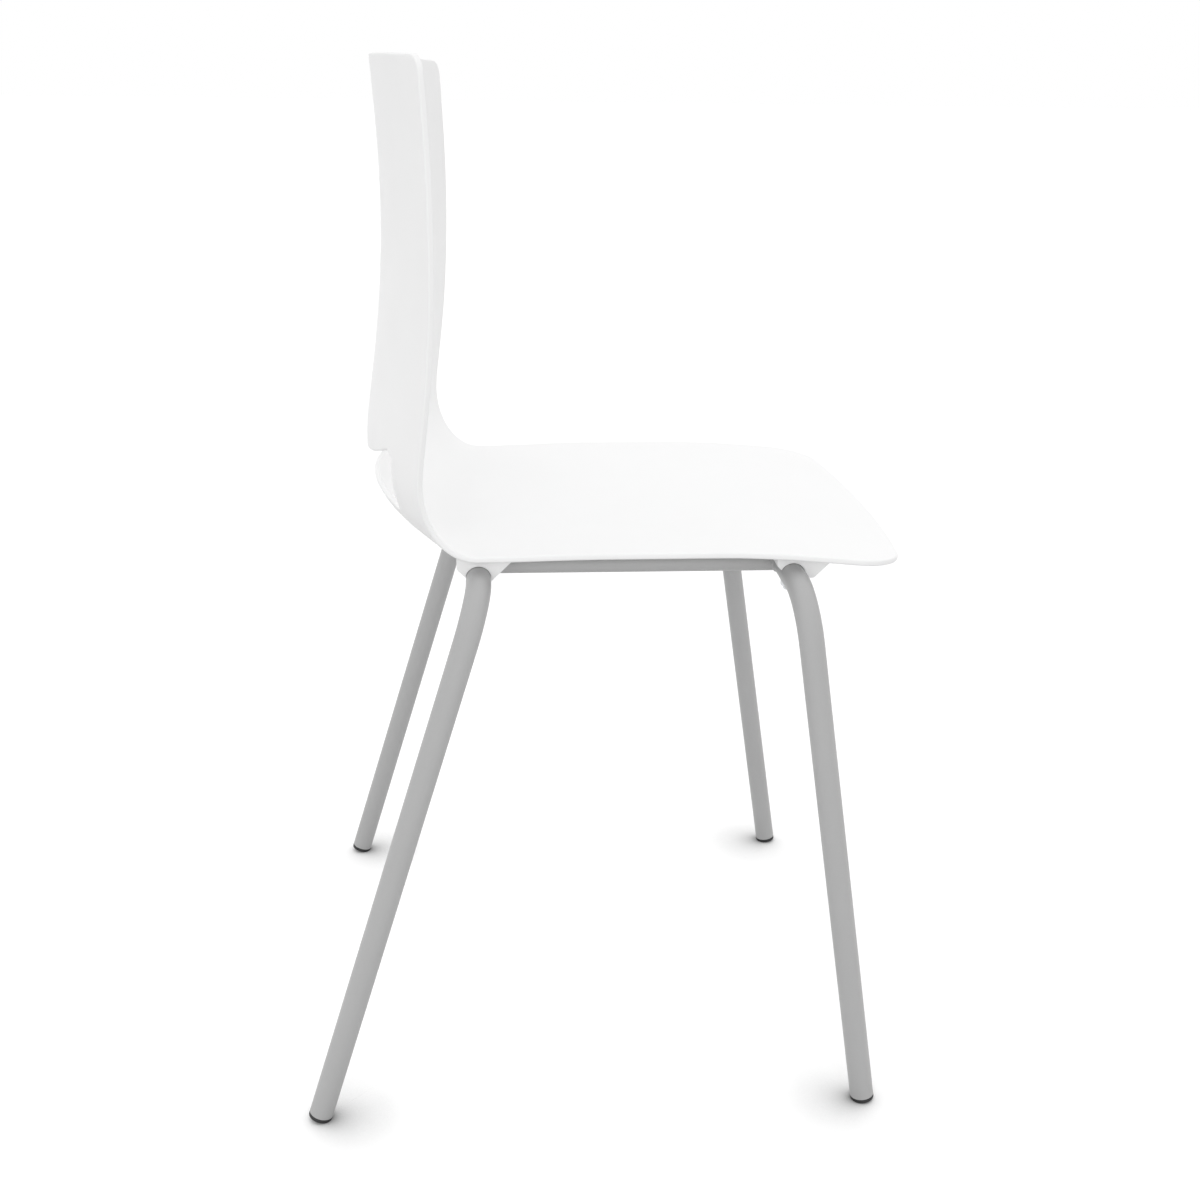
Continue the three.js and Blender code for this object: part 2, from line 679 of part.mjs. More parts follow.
const whitePlastic = new THREE.MeshStandardMaterial({ color: "#f5f5f3", roughness: 0.45 });
const saddlePlastic = new THREE.MeshStandardMaterial({ color: "#eeeeec", roughness: 0.5 });
const greyPaint = new THREE.MeshStandardMaterial({ color: "#b9b9b9", roughness: 0.4, metalness: 0.3 });
const zincSteel = new THREE.MeshStandardMaterial({ color: "#a8aaad", roughness: 0.35, metalness: 1 });
const darkPlastic = new THREE.MeshStandardMaterial({ color: "#2a2a2b", roughness: 0.7 });

// ---- The chair ----

const chair = new THREE.Group();

const frame = new THREE.Group();
frame.add(meshOf("rear_leg_loop", legLoop("rear"), greyPaint));
frame.add(meshOf("front_leg_loop", legLoop("front"), greyPaint));
for (const side of Object.keys(SIDE)) {
  frame.add(meshOf(`side_rail_${side}`, sideRail(side), greyPaint));
}
chair.add(frame);

chair.add(meshOf("seat_shell", seatShell(), whitePlastic));

const shellSide = shellLayer(-SHELL_WALL / 2 - CLEARANCE, ABOVE_SHELL);
for (const end of Object.keys(LEAN)) {
  for (const side of Object.keys(SIDE)) {
    const corner = new THREE.Group();
    corner.add(meshOf(`saddle_${end}_${side}`, saddle(end, side, shellSide), saddlePlastic));
    corner.add(meshOf(`washer_${end}_${side}`, tubeWasher(end, side), zincSteel));
    corner.add(meshOf(`screw_${end}_${side}`, shellScrew(end, side), zincSteel));
    corner.add(meshOf(`foot_glide_${end}_${side}`, footGlide(end, side), darkPlastic));
    chair.add(corner);
  }
}

const box = new THREE.Box3().setFromObject(chair, true);
chair.position.x = -(box.min.x + box.max.x) / 2;

export default chair;
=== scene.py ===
import math

import bmesh
import bpy
import numpy as np
from bpy.props import FloatProperty, FloatVectorProperty, IntProperty, PointerProperty
from mathutils import Matrix, Vector
from mathutils.geometry import delaunay_2d_cdt


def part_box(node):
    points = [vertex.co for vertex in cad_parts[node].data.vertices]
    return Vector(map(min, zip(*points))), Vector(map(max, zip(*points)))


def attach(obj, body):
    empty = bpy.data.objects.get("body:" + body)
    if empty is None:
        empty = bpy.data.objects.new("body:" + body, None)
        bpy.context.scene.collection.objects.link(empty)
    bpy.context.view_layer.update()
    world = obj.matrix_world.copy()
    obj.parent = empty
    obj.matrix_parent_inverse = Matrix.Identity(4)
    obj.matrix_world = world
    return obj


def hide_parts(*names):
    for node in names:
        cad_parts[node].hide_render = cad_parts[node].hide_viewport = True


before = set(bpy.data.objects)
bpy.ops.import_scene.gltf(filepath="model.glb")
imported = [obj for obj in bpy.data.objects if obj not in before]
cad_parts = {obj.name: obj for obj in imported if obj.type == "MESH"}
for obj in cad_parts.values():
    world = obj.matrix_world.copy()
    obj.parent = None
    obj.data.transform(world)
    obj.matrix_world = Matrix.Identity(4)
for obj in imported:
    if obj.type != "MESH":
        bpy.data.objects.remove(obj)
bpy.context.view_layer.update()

bl_info = {
    "name": "Stacking chair",
    "version": (1, 0, 0),
    "blender": (4, 5, 0),
    "location": "View3D > Sidebar > Chair",
    "description": "Builds the looks of a stacking chair around its packed solids",
    "category": "Object",
}

# Metres, +Z up, +X to the front of the chair, +Y to the sitter's left.
MM = 0.001
BODY = "root"
SIDES = {"left": 1, "right": -1}
ENDS = ("rear", "front")

# ---- Places that the frame gives ----

RAIL_LOW, RAIL_HIGH = (Vector(corner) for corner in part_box("side_rail_left"))
REAR_LOOP_HIGH = Vector(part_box("rear_leg_loop")[1])
FRONT_LOOP_LOW = Vector(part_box("front_leg_loop")[0])
WASHER_LOW, WASHER_HIGH = (Vector(corner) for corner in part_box("washer_rear_left"))
SADDLE_LOW, SADDLE_HIGH = (Vector(corner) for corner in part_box("saddle_rear_left"))
SCREW_LOW, SCREW_HIGH = (Vector(corner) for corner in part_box("screw_rear_left"))

AXIS_HEIGHT = (RAIL_LOW.z + RAIL_HIGH.z) / 2  # of the cross tubes and the rails
RAIL_RADIUS = (RAIL_HIGH.z - RAIL_LOW.z) / 2
RAIL_Y = (RAIL_LOW.y + RAIL_HIGH.y) / 2
TUBE_RADIUS = REAR_LOOP_HIGH.z - AXIS_HEIGHT
AXIS_X = {"rear": REAR_LOOP_HIGH.x - TUBE_RADIUS, "front": FRONT_LOOP_LOW.x + TUBE_RADIUS}
FASTENING_Y = (WASHER_LOW.y + WASHER_HIGH.y) / 2
CLEARANCE = 0.3 * MM

# ---- Shell and saddles: millimetres, x from the rear cross tube's axis, z from the floor ----

SHELL_TOP = 843
SEAT_EDGE = 475.4  # side edge where it is level
REAR_EDGE = 472.9  # side edge over the rear tube
LUMBAR_RISE = 243
WAIST_RISE = 57
WAIST_SETBACK = 42.5
LUMBAR_ADVANCE = 12.9
TOP_SETBACK = 6
TOP_LEAN = 4.5  # degrees
FLAT_START = 110
FLAT_END = 190
FRONT_EDGE = 349
FRONT_DROP = 11.6
PAST_TOP = 10  # the side profile runs on past the top edge
PAST_FRONT = 3  # and past the front edge
LUMBAR_PULL = 0.6  # how far the curve runs straight on below the lumbar point, as a share of the stretch
WAIST_PULL = 0.14  # and above the waist
ROUND_PULL = 0.55  # makes a quarter of an ellipse of a Bezier curve
FRONT_PULL = 0.6  # share of the front's drop at which the curve's last control point stands

# Hollow of the shell at its middle line.
TOP_DEPTH = 45
LUMBAR_DEPTH = 45
WAIST_DEPTH = 50
REAR_SEAT_DEPTH = 6.5
SEAT_DEPTH = 9
FRONT_SEAT_DEPTH = 8
FRONT_DEPTH = 4
BEND_LAG = 1.3  # above 1, the hollow lasts longer into the bend

# Width of the shell.
BACK_WIDTH = 430
LOW_BACK_WIDTH = 420
WAIST_WIDTH = 400
REAR_SEAT_WIDTH = 382
SEAT_WIDTH = 386
FRONT_WIDTH = 392

# Top and front edges, and the opening at the lower back.
TOP_BOW = 2.5
TOP_CORNER_RADIUS = 12
FRONT_BOW = 10
FRONT_CORNER_RADIUS = 45
OPENING_WIDTH = 298
OPENING_RISE = 26.5
OPENING_MIDDLE_HEIGHT = 25
OPENING_END_HEIGHT = 46
OPENING_CORNER_RADIUS = 12
OPENING_LIP_BOW = 4
EDGE_TILT = 0.1  # the rim leans this far past its middle line

PROFILE_STEPS = 1200  # samples of each stretch of the side profile
SEARCH_STEPS = 3000  # samples of a line down the sheet, along which a height is looked up
SLOPE_STEP = 1.0  # step over which the sheet's slope is measured
EDGE_STEP = 3.0  # spacing of the points along an edge
CORNER_STEP = 2.0  # spacing of the points round a corner
LEAST_CORNER_STEPS = 4
SHEET_STEP = 5.0  # spacing of the points inside the sheet
EDGE_CLEARANCE = 0.6 * SHEET_STEP  # least distance of those points from an edge
RIM_STEPS = 5  # faces across half of a rounded rim
RIM_HOLD = 0.8  # width of the ring that keeps the face flat beside the rim
SAME_PLACE = 1e-5  # points closer than this are one

# Saddles, from the tube's axis.
SADDLE_DROP = 2  # how far its lips go below the axis, where they hold the tube
SADDLE_SIDE = 1.0  # least height of its upright sides
SADDLE_FOOT = {"rear": (9, 12), "front": (5, 19)}  # rear and front end of the foot
SADDLE_REACH = {"rear": (17, 30), "front": (13, 36)}  # rear and front end of the top
SADDLE_SHARP = 35  # degrees between two faces, past which an edge is rounded
SADDLE_ROUNDING_STEPS = 3
SADDLE_SLICES = 6  # faces across its width
SADDLE_TOP_STEPS = 16  # faces along its top
SADDLE_SEAT_STEP = 1.2  # spacing of the points round the tube
UNDERSIDE_STEPS = 4000  # samples of the shell's underside over a saddle
FLANK_STEPS = 200  # samples of a sloping side

# ---- Tubes and weld beads ----

TUBE_SHARP = 40  # degrees between two faces, past which an edge is sharp
BEND_STEPS = 24  # points along each bend, before the rings are spaced
TUBE_STEP = 5 * MM  # spacing of the rings along a leg loop
RAIL_RINGS = 24
WELD_POINTS = 160  # round one bead
WELD_RIPPLE = 8  # points in one ripple, about 2.5 mm long, made as the welder's torch steps round
WELD_SWELL = 0.07  # share by which a ripple swells the bead
WELD_SIDES = 12

# ---- Small turned parts ----

TURNED_SHARP = 50  # degrees
TURNED_SIDES = 48
CORNER_STEPS = 4
SOCKET_CHAMFER = 0.15 * MM
WASHER_ROUNDING = 0.4 * MM
WASHER_RINGS = 8  # across its top, so that it can follow the tube
SOLE_ROUNDING = 0.8 * MM
SOLE_TOP_ROUNDING = 0.3 * MM
SOLE_RINGS = 6  # across the underside, so that the flat can form
PLUG_RIBS = 4
PLUG_RIB_HEIGHT = 0.8 * MM

# ---- Stage ----

SENSOR_WIDTH = 36  # mm
VIEW_END = 500.0  # metres, past the floor's edge
FLOOR_REACH = 60.0  # metres, from the middle to an edge
SHADE_SAMPLES = 8
LAMP_SIZE = (2.4, 1.2)  # metres
LAMP_PLACE = (-0.4, -2.9, 1.15)
LAMP_AIM = (0.0, 0.0, 0.45)


# ---- Settings ----


def length(name, description, default, **more):
    return FloatProperty(
        name=name, description=description, default=default, unit="LENGTH", subtype="DISTANCE", **more
    )


def angle(name, description, degrees):
    return FloatProperty(
        name=name, description=description, default=math.radians(degrees), unit="ROTATION", subtype="ANGLE"
    )


def linear(hexadecimal):
    """The linear colour of an sRGB hex value."""
    values = [int(hexadecimal[i : i + 2], 16) / 255 for i in (1, 3, 5)]
    return [v / 12.92 if v <= 0.04045 else ((v + 0.055) / 1.055) ** 2.4 for v in values]


def colour(name, description, hexadecimal):
    return FloatVectorProperty(
        name=name, description=description, default=linear(hexadecimal),
        size=3, subtype="COLOR", min=0, max=1,
    )


def number(name, description, default, **more):
    return FloatProperty(name=name, description=description, default=default, **more)


class ShellSettings(bpy.types.PropertyGroup):
    wall: length("Wall", "Thickness of the moulded wall", 4.8 * MM)
    rim_radius: length("Rim radius", "Rounding of every rim", 1.5 * MM)
    grain: length("Grain", "Size of the satin grain", 0.9 * MM)
    colour: colour("Colour", "Colour of the polypropylene", "#f7f7f7")
    roughness: number("Roughness", "Roughness of the satin face", 0.42)
    roughness_range: number("Roughness range", "How far the roughness goes up and down in places", 0.05)


class FrameSettings(bpy.types.PropertyGroup):
    width: length("Frame width", "Between the leg axes at the cross tubes", 458.6 * MM)
    bend_radius: length("Bend radius", "Radius of the leg bends, to the tube's axis", 38 * MM)
    tube_wall: length("Tube wall", "Wall of the leg tube and the rails", 1.5 * MM)
    rear_lean: angle("Rear lean", "Rear legs back from the vertical", 17)
    front_lean: angle("Front lean", "Front legs forward from the vertical", 9.1)
    splay: angle("Splay", "Legs outward from the vertical", 0.77)
    weld: length("Weld", "Thickness of the weld beads", 2.6 * MM)
    colour: colour("Colour", "Colour of the powder coat", "#b4b4b4")
    sides: IntProperty(name="Sides", description="Flat faces round a tube", default=40, min=12)


class SaddleSettings(bpy.types.PropertyGroup):
    rounding: length("Rounding", "Rounding of the saddles' edges", 0.6 * MM)
    colour: colour("Colour", "Colour of the saddles", "#fafafa")


class FasteningSettings(bpy.types.PropertyGroup):
    shank: length("Shank", "Diameter of the screws", 5 * MM)
    head: length("Head", "Diameter of the screw heads", 9.5 * MM)
    head_height: length("Head height", "Height of the screw heads", 3.2 * MM)
    socket: length("Socket", "Hexagon socket across its flats", 3 * MM)
    socket_depth: length("Socket depth", "Depth of the hexagon socket", 1.8 * MM)
    boss: length("Boss", "Diameter of the screw bosses", 12 * MM)
    colour: colour("Colour", "Colour of the zinc plate", "#d6d8da")


class GlideSettings(bpy.types.PropertyGroup):
    sole: length("Sole", "Thickness of the sole", 3.4 * MM)
    flat: length("Flat", "Width of the level flat that the sole stands on", 5 * MM)
    plug: length("Plug", "Length of the plug inside the tube", 18 * MM)
    colour: colour("Colour", "Colour of the glides", "#2b2b2c")


class StageSettings(bpy.types.PropertyGroup):
    camera: FloatVectorProperty(
        name="Camera", description="Place of the camera", default=(-0.094909, -1.312926, 0.824461),
        size=3, unit="LENGTH", subtype="TRANSLATION",
    )
    yaw: angle("Yaw", "Camera turned from +Y towards +X", 4.522)
    pitch: angle("Pitch", "Camera turned down", 18.878)
    roll: angle("Roll", "Camera rolled", 0.740)
    lens: number("Lens", "Focal length on a 36 mm sensor, in mm", 45.594)
    zenith: number("Zenith", "Strength of the light from straight above", 0.95)
    horizon: number("Horizon", "Strength of the light from all sides", 1.16)
    side: number("Side", "Share by which the light from +Y is stronger than that from the sides", 0.4)
    fill: number("Fill", "Power of the soft lamp on the -Y side", 24, unit="POWER")
    floor: colour("Floor", "Colour of the floor as the chair sees it", "#b4b4b4")
    lift: number("Lift", "Light added to the floor where it is seen", 0.08)
    # Painted shade: ambient occlusion darkens the floor's colour near the feet, leaning in under the legs.
    painted_shade_reach: length("Shade reach", "How far from a foot the floor is shaded", 60 * MM)
    painted_shade_tilt: number("Shade tilt", "How far the shade leans in under the legs", 0.8)
    painted_shade_depth: number("Shade depth", "Strength of the shade at the feet", 1.15)


# ---- Tools that every piece uses ----


def result(node):
    """A node's first output that its settings leave open."""
    return next(output for output in node.outputs if output.enabled)


def add(tree, kind, *values, **settings):
    """Adds a node with its settings. Its values are nodes or sockets to link, or constants, in the order of
    its inputs, or each a pair (name, value) for a named input."""
    made = tree.nodes.new(kind)
    for name, setting in settings.items():
        setattr(made, name, setting)
    open_inputs = [socket for socket in made.inputs if socket.enabled]
    for place, value in enumerate(values):
        if isinstance(value, tuple) and isinstance(value[0], str):
            socket, value = made.inputs[value[0]], value[1]
        else:
            socket = open_inputs[place]
        if isinstance(value, bpy.types.Node):
            value = result(value)
        if isinstance(value, bpy.types.NodeSocket):
            tree.links.new(value, socket)
        else:
            socket.default_value = value
    return made


def geometry_tree(name, **inputs):
    """A geometry tree with one geometry input and output, and named inputs of the kinds given."""
    tree = bpy.data.node_groups.new(name, "GeometryNodeTree")
    tree.interface.new_socket("Geometry", in_out="OUTPUT", socket_type="NodeSocketGeometry")
    tree.interface.new_socket("Geometry", in_out="INPUT", socket_type="NodeSocketGeometry")
    for label, kind in inputs.items():
        tree.interface.new_socket(label, in_out="INPUT", socket_type="NodeSocket" + kind)
    entry = tree.nodes.new("NodeGroupInput")
    return tree, entry.outputs


def attribute(tree, name, kind="FLOAT"):
    return add(tree, "GeometryNodeInputNamedAttribute", name, data_type=kind)


def finish_tree(tree, geometry, material, scratch=()):
    """Ends a tree: real geometry, smooth faces, the material, and no scratch attributes."""
    made = add(tree, "GeometryNodeRealizeInstances", geometry)
    made = add(tree, "GeometryNodeSetShadeSmooth", made)
    for name in scratch:
        made = add(tree, "GeometryNodeRemoveAttribute", made, name)
    made = add(tree, "GeometryNodeSetMaterial", made, ("Material", material))
    add(tree, "NodeGroupOutput", made)


def plain_mesh(piece):
    """Turns a piece with its modifiers into a plain mesh."""
    depsgraph = bpy.context.evaluated_depsgraph_get()
    mesh = bpy.data.meshes.new_from_object(piece.evaluated_get(depsgraph))
    piece.modifiers.clear()
    piece.data = mesh
    mesh.name = piece.name
    return piece


def new_piece(name, mesh, material=None):
    piece = bpy.data.objects.new(name, mesh)
    bpy.context.scene.collection.objects.link(piece)
    if material:
        mesh.materials.append(material)
    return piece


def grow(name, base, tree, **values):
    """A piece from a base mesh and a geometry tree, as a plain mesh."""
    piece = new_piece(name, base)
    modifier = piece.modifiers.new(tree.name, "NODES")
    modifier.node_group = tree
    for item in tree.interface.items_tree:
        if item.in_out == "INPUT" and item.name in values:
            modifier[item.identifier] = values[item.name]
    return plain_mesh(piece)


def sharpen(piece, degrees):
    """Makes the edges between faces that turn more than that sharp."""
    piece.data.set_sharp_from_angle(angle=math.radians(degrees))


def settle(piece, slot, *nodes):
    """Hangs a finished piece on the body that it rides on, and hides the solids that it stands for. The
    slot is not used.
    """
    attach(piece, BODY)
    if nodes:
        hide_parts(*nodes)


def mesh_of(name, points, faces):
    mesh = bpy.data.meshes.new(name)
    mesh.from_pydata([tuple(point) for point in points], [], faces)
    mesh.update()
    return mesh


def points_mesh(name, points, **attributes):
    """A mesh of loose points, each with its own attributes."""
    mesh = bpy.data.meshes.new(name)
    mesh.from_pydata([tuple(point) for point in points], [], [])
    for label, values in attributes.items():
        if isinstance(values[0], (int, float)):
            mesh.attributes.new(label, "FLOAT", "POINT").data.foreach_set("value", values)
        else:
            flat = [number for value in values for number in value]
            mesh.attributes.new(label, "FLOAT_VECTOR", "POINT").data.foreach_set("vector", flat)
    return mesh


def named_nodes(stem):
    return [f"{stem}_{end}_{side}" for end in ENDS for side in SIDES]


# ---- Materials ----

NOISE_SPAN = (0.3, 0.7)  # nearly all of a noise's values lie between these


def new_material(name, base, roughness, metallic=0.0, ior=1.5):
    """A material with its constants on the shader's own sockets, and the tree, shader and coordinates."""
    material = bpy.data.materials.new(name)
    material.use_nodes = True
    tree = material.node_tree
    shader = tree.nodes["Principled BSDF"]
    shader.inputs["Base Color"].default_value = (*base, 1)
    shader.inputs["Roughness"].default_value = roughness
    shader.inputs["Metallic"].default_value = metallic
    if metallic < 1:
        shader.inputs["IOR"].default_value = ior
    place = add(tree, "ShaderNodeTexCoord").outputs["Object"]
    return material, tree, shader, place


def per_metre(size):
    """The scale of a noise whose blotches are about that size."""
    return 1 / (2 * size)


def varied(tree, shader, socket, noise, low, high):
    """Lets a noise move one of the shader's inputs between two values."""
    made = add(tree, "ShaderNodeMapRange", noise, *NOISE_SPAN, low, high)
    tree.links.new(result(made), shader.inputs[socket])


def tinted(tree, shader, noise, base, darker):
    """Lets a noise move the base colour between the colour and a slightly darker one."""
    shade = tuple(part * darker for part in base)
    made = add(tree, "ShaderNodeMix", noise, (*base, 1), (*shade, 1), data_type="RGBA")
    tree.links.new(result(made), shader.inputs["Base Color"])


def grained(tree, shader, noise, strength, depth):
    """Lets a noise raise and lower the face by about that depth, as far as light on it shows."""
    bump = add(tree, "ShaderNodeBump", ("Strength", strength), ("Distance", depth), ("Height", noise))
    tree.links.new(bump.outputs["Normal"], shader.inputs["Normal"])


def moulded_polypropylene(settings):
    """Injection-moulded polypropylene from a spark-eroded tool: an even white with a fine satin grain,
    faint flow clouds, and soft highlights."""
    base = tuple(settings.colour)
    material, tree, shader, place = new_material(
        "moulded_polypropylene", base, settings.roughness, ior=1.49
    )
    flow = add(tree, "ShaderNodeTexNoise", place, ("Scale", per_metre(60 * MM)))
    tinted(tree, shader, flow, base, darker=0.985)
    worn = add(tree, "ShaderNodeTexNoise", place, ("Scale", per_metre(18 * MM)), ("Detail", 3.0))
    low, high = settings.roughness - settings.roughness_range, settings.roughness + settings.roughness_range
    varied(tree, shader, "Roughness", worn, low, high)
    # The real grain is about 0.1 mm. It is drawn coarser, so that it shows as a slight softness.
    grain = add(tree, "ShaderNodeTexNoise", place, ("Scale", per_metre(settings.grain)), ("Roughness", 0.6))
    grained(tree, shader, grain, strength=0.18, depth=0.03 * MM)
    return material


def moulded_saddle_plastic(settings):
    """Moulded polyamide: a clean white, with a duller and denser face than the shell's."""
    base = tuple(settings.colour)
    material, tree, shader, place = new_material("moulded_polyamide", base, roughness=0.5, ior=1.53)
    cloud = add(tree, "ShaderNodeTexNoise", place, ("Scale", per_metre(9 * MM)))
    tinted(tree, shader, cloud, base, darker=0.975)
    grain = add(tree, "ShaderNodeTexNoise", place, ("Scale", per_metre(0.7 * MM)), ("Roughness", 0.6))
    grained(tree, shader, grain, strength=0.2, depth=0.03 * MM)
    return material


def powder_coat(settings):
    """Baked polyester powder on steel tube: an even silver grey with a satin sheen and slight orange peel,
    the shallow waves about 1.5 mm apart that the powder leaves as it flows out."""
    base = tuple(settings.colour)
    material, tree, shader, place = new_material("powder_coat", base, roughness=0.45, metallic=0.15)
    flake = add(tree, "ShaderNodeTexNoise", place, ("Scale", per_metre(0.8 * MM)), ("Detail", 1.0))
    tinted(tree, shader, flake, base, darker=0.965)
    sheen = add(tree, "ShaderNodeTexNoise", place, ("Scale", per_metre(30 * MM)))
    varied(tree, shader, "Roughness", sheen, low=0.41, high=0.49)
    peel = add(
        tree, "ShaderNodeTexNoise", place,
        ("Scale", per_metre(1.5 * MM)), ("Detail", 1.0), ("Roughness", 0.4),
    )
    grained(tree, shader, peel, strength=0.25, depth=0.04 * MM)
    return material


def zinc_plate(settings):
    """Zinc-plated steel: a cool grey metal whose thin passivated layer clouds its gloss."""
    base = tuple(settings.colour)
    material, tree, shader, place = new_material("zinc_plated_steel", base, roughness=0.34, metallic=1.0)
    cloud = add(
        tree, "ShaderNodeTexNoise", place,
        ("Scale", per_metre(2.5 * MM)), ("Detail", 3.0), ("Roughness", 0.6),
    )
    tinted(tree, shader, cloud, base, darker=0.88)
    varied(tree, shader, "Roughness", cloud, low=0.26, high=0.42)
    return material


def glide_plastic(settings):
    """Moulded polyethylene: near black and matt, clouded by scuffs into darker and duller places."""
    base = tuple(settings.colour)
    material, tree, shader, place = new_material("moulded_polyethylene", base, roughness=0.6, ior=1.51)
    scuff = add(
        tree, "ShaderNodeTexNoise", place,
        ("Scale", per_metre(3 * MM)), ("Detail", 4.0), ("Roughness", 0.65),
    )
    tinted(tree, shader, scuff, base, darker=0.7)
    varied(tree, shader, "Roughness", scuff, low=0.5, high=0.72)
    grain = add(tree, "ShaderNodeTexNoise", place, ("Scale", per_metre(0.6 * MM)), ("Roughness", 0.6))
    grained(tree, shader, grain, strength=0.3, depth=0.04 * MM)
    return material


# ---- Shell ----


def lerp(a, b, share):
    return a + (b - a) * share


def side_profile():
    """The side edge from the top of the back to the front of the seat, as cubic Bezier stretches."""
    waist = (-WAIST_SETBACK, SEAT_EDGE + WAIST_RISE)
    lumbar = (waist[0] + LUMBAR_ADVANCE, SEAT_EDGE + LUMBAR_RISE)
    top = (lumbar[0] - TOP_SETBACK, SHELL_TOP + PAST_TOP)
    rear = (0, REAR_EDGE)
    flat_start = (FLAT_START, SEAT_EDGE)
    flat_end = (FLAT_END, SEAT_EDGE)
    front = (FRONT_EDGE + PAST_FRONT, SEAT_EDGE - FRONT_DROP)
    top_pull = (top[1] - lumbar[1]) / 3
    back_height = lumbar[1] - waist[1]
    seat_pull = (flat_start[0] - rear[0]) / 3
    flat_pull = (flat_end[0] - flat_start[0]) / 3
    front_pull = (front[0] - flat_end[0]) / 3
    return [
        (top, (top[0] + top_pull * math.tan(math.radians(TOP_LEAN)), top[1] - top_pull),
         (lumbar[0], lumbar[1] + top_pull), lumbar),
        (lumbar, (lumbar[0], lumbar[1] - LUMBAR_PULL * back_height),
         (waist[0], waist[1] + WAIST_PULL * back_height), waist),
        (waist, (waist[0], lerp(waist[1], rear[1], ROUND_PULL)),
         (lerp(rear[0], waist[0], ROUND_PULL), rear[1]), rear),
        (rear, (rear[0] + seat_pull, rear[1]), (flat_start[0] - seat_pull, flat_start[1]), flat_start),
        (flat_start, (flat_start[0] + flat_pull, flat_start[1]),
         (flat_end[0] - flat_pull, flat_end[1]), flat_end),
        (flat_end, (flat_end[0] + front_pull, flat_end[1]),
         (front[0] - front_pull, lerp(flat_end[1], front[1], FRONT_PULL)), front),
    ]


def smooth_through(distances, values, at):
    """A smooth curve through one value at each distance, level at both ends."""
    slopes = np.zeros(len(values))
    slopes[1:-1] = (values[2:] - values[:-2]) / (distances[2:] - distances[:-2])
    i = np.clip(np.searchsorted(distances, at, side="right") - 1, 0, len(values) - 2)
    span = distances[i + 1] - distances[i]
    t = (at - distances[i]) / span
    u = 1 - t
    level = values[i] * (1 + 2 * t) * u * u + values[i + 1] * (3 - 2 * t) * t * t
    return level + span * t * u * (slopes[i] * u - slopes[i + 1] * t)


class ShellSurface:
    """The shell's middle surface. A place on it is a distance along the side profile from its top end,
    and a distance y across, both in millimetres."""

    def __init__(self):
        t = np.linspace(0, 1, PROFILE_STEPS + 1)[:, None]
        places, tangents, stations = [], [], [0.0]
        for stretch in side_profile():
            a, b, c, d = (np.array(point, float) for point in stretch)
            place = (1 - t) ** 3 * a + 3 * (1 - t) ** 2 * t * b + 3 * (1 - t) * t * t * c + t ** 3 * d
            slope = (1 - t) ** 2 * (b - a) + 2 * (1 - t) * t * (c - b) + t * t * (d - c)
            tangents.append(slope / np.linalg.norm(slope, axis=1)[:, None])
            places.append(place)
            stations.append(stations[-1] + np.linalg.norm(np.diff(place, axis=0), axis=1).sum())
        places = np.concatenate([places[0][:1]] + [place[1:] for place in places])
        self.tangents = np.concatenate([tangents[0][:1]] + [tangent[1:] for tangent in tangents])
        steps = np.linalg.norm(np.diff(places, axis=0), axis=1)
        self.distances = np.concatenate([[0], np.cumsum(steps)])
        self.places = places
        self.stations = np.array(stations)
        self.depths = self.hollow(self.distances)
        self.half_widths = self.width(self.distances) / 2

    def hollow(self, at):
        top, lumbar, waist, rear, flat_from, flat_to, front = self.stations
        back = smooth_through(
            np.array([top, lumbar, waist]), np.array([TOP_DEPTH, LUMBAR_DEPTH, WAIST_DEPTH], float), at
        )
        seat = smooth_through(
            np.array([rear, flat_from, flat_to, front]),
            np.array([REAR_SEAT_DEPTH, SEAT_DEPTH, FRONT_SEAT_DEPTH, FRONT_DEPTH], float), at
        )
        share = np.clip((at - waist) / (rear - waist), 0, 1) ** BEND_LAG
        bend = lerp(WAIST_DEPTH, REAR_SEAT_DEPTH, share * share * (3 - 2 * share))
        return np.where(at < waist, back, np.where(at > rear, seat, bend))

    def width(self, at):
        top, lumbar, waist, rear, flat_from, flat_to, front = self.stations
        return smooth_through(
            np.array([top, lumbar, (lumbar + waist) / 2, waist, rear, flat_from, flat_to, front]),
            np.array([BACK_WIDTH, BACK_WIDTH, LOW_BACK_WIDTH, WAIST_WIDTH,
                      REAR_SEAT_WIDTH, SEAT_WIDTH, SEAT_WIDTH, FRONT_WIDTH], float), at
        )

    def along(self, at, values):
        return np.interp(at, self.distances, values)

    def point(self, at, y):
        """Points of the middle surface, as an array of x, y, z."""
        at, y = np.broadcast_arrays(np.asarray(at, float), np.asarray(y, float))
        depth = self.along(at, self.depths) * (1 - (y / self.along(at, self.half_widths)) ** 2)
        x = self.along(at, self.places[:, 0]) + self.along(at, self.tangents[:, 1]) * depth
        z = self.along(at, self.places[:, 1]) - self.along(at, self.tangents[:, 0]) * depth
        return np.stack([x, y, z], -1)

    def slopes(self, at, y):
        """How the surface runs along and across at each point."""
        along = self.point(at + SLOPE_STEP, y) - self.point(at - SLOPE_STEP, y)
        across = self.point(at, y + SLOPE_STEP) - self.point(at, y - SLOPE_STEP)
        return along / (2 * SLOPE_STEP), across / (2 * SLOPE_STEP)

    def normal(self, at, y):
        """The direction towards the sitter."""
        normal = np.cross(*self.slopes(at, y))
        return normal / np.linalg.norm(normal, axis=-1, keepdims=True)

    def where(self, axis, value, y, low, high, across=False):
        """The place at which a line of constant y, or of a constant share y across, meets a plane."""
        at = np.linspace(low, high, SEARCH_STEPS)
        side = y * self.along(at, self.half_widths) if across else y
        seen = self.point(at, side)[:, axis]
        order = np.argsort(seen)
        found = np.interp(value, seen[order], at[order])
        return found, (y * self.along(found, self.half_widths) if across else y)


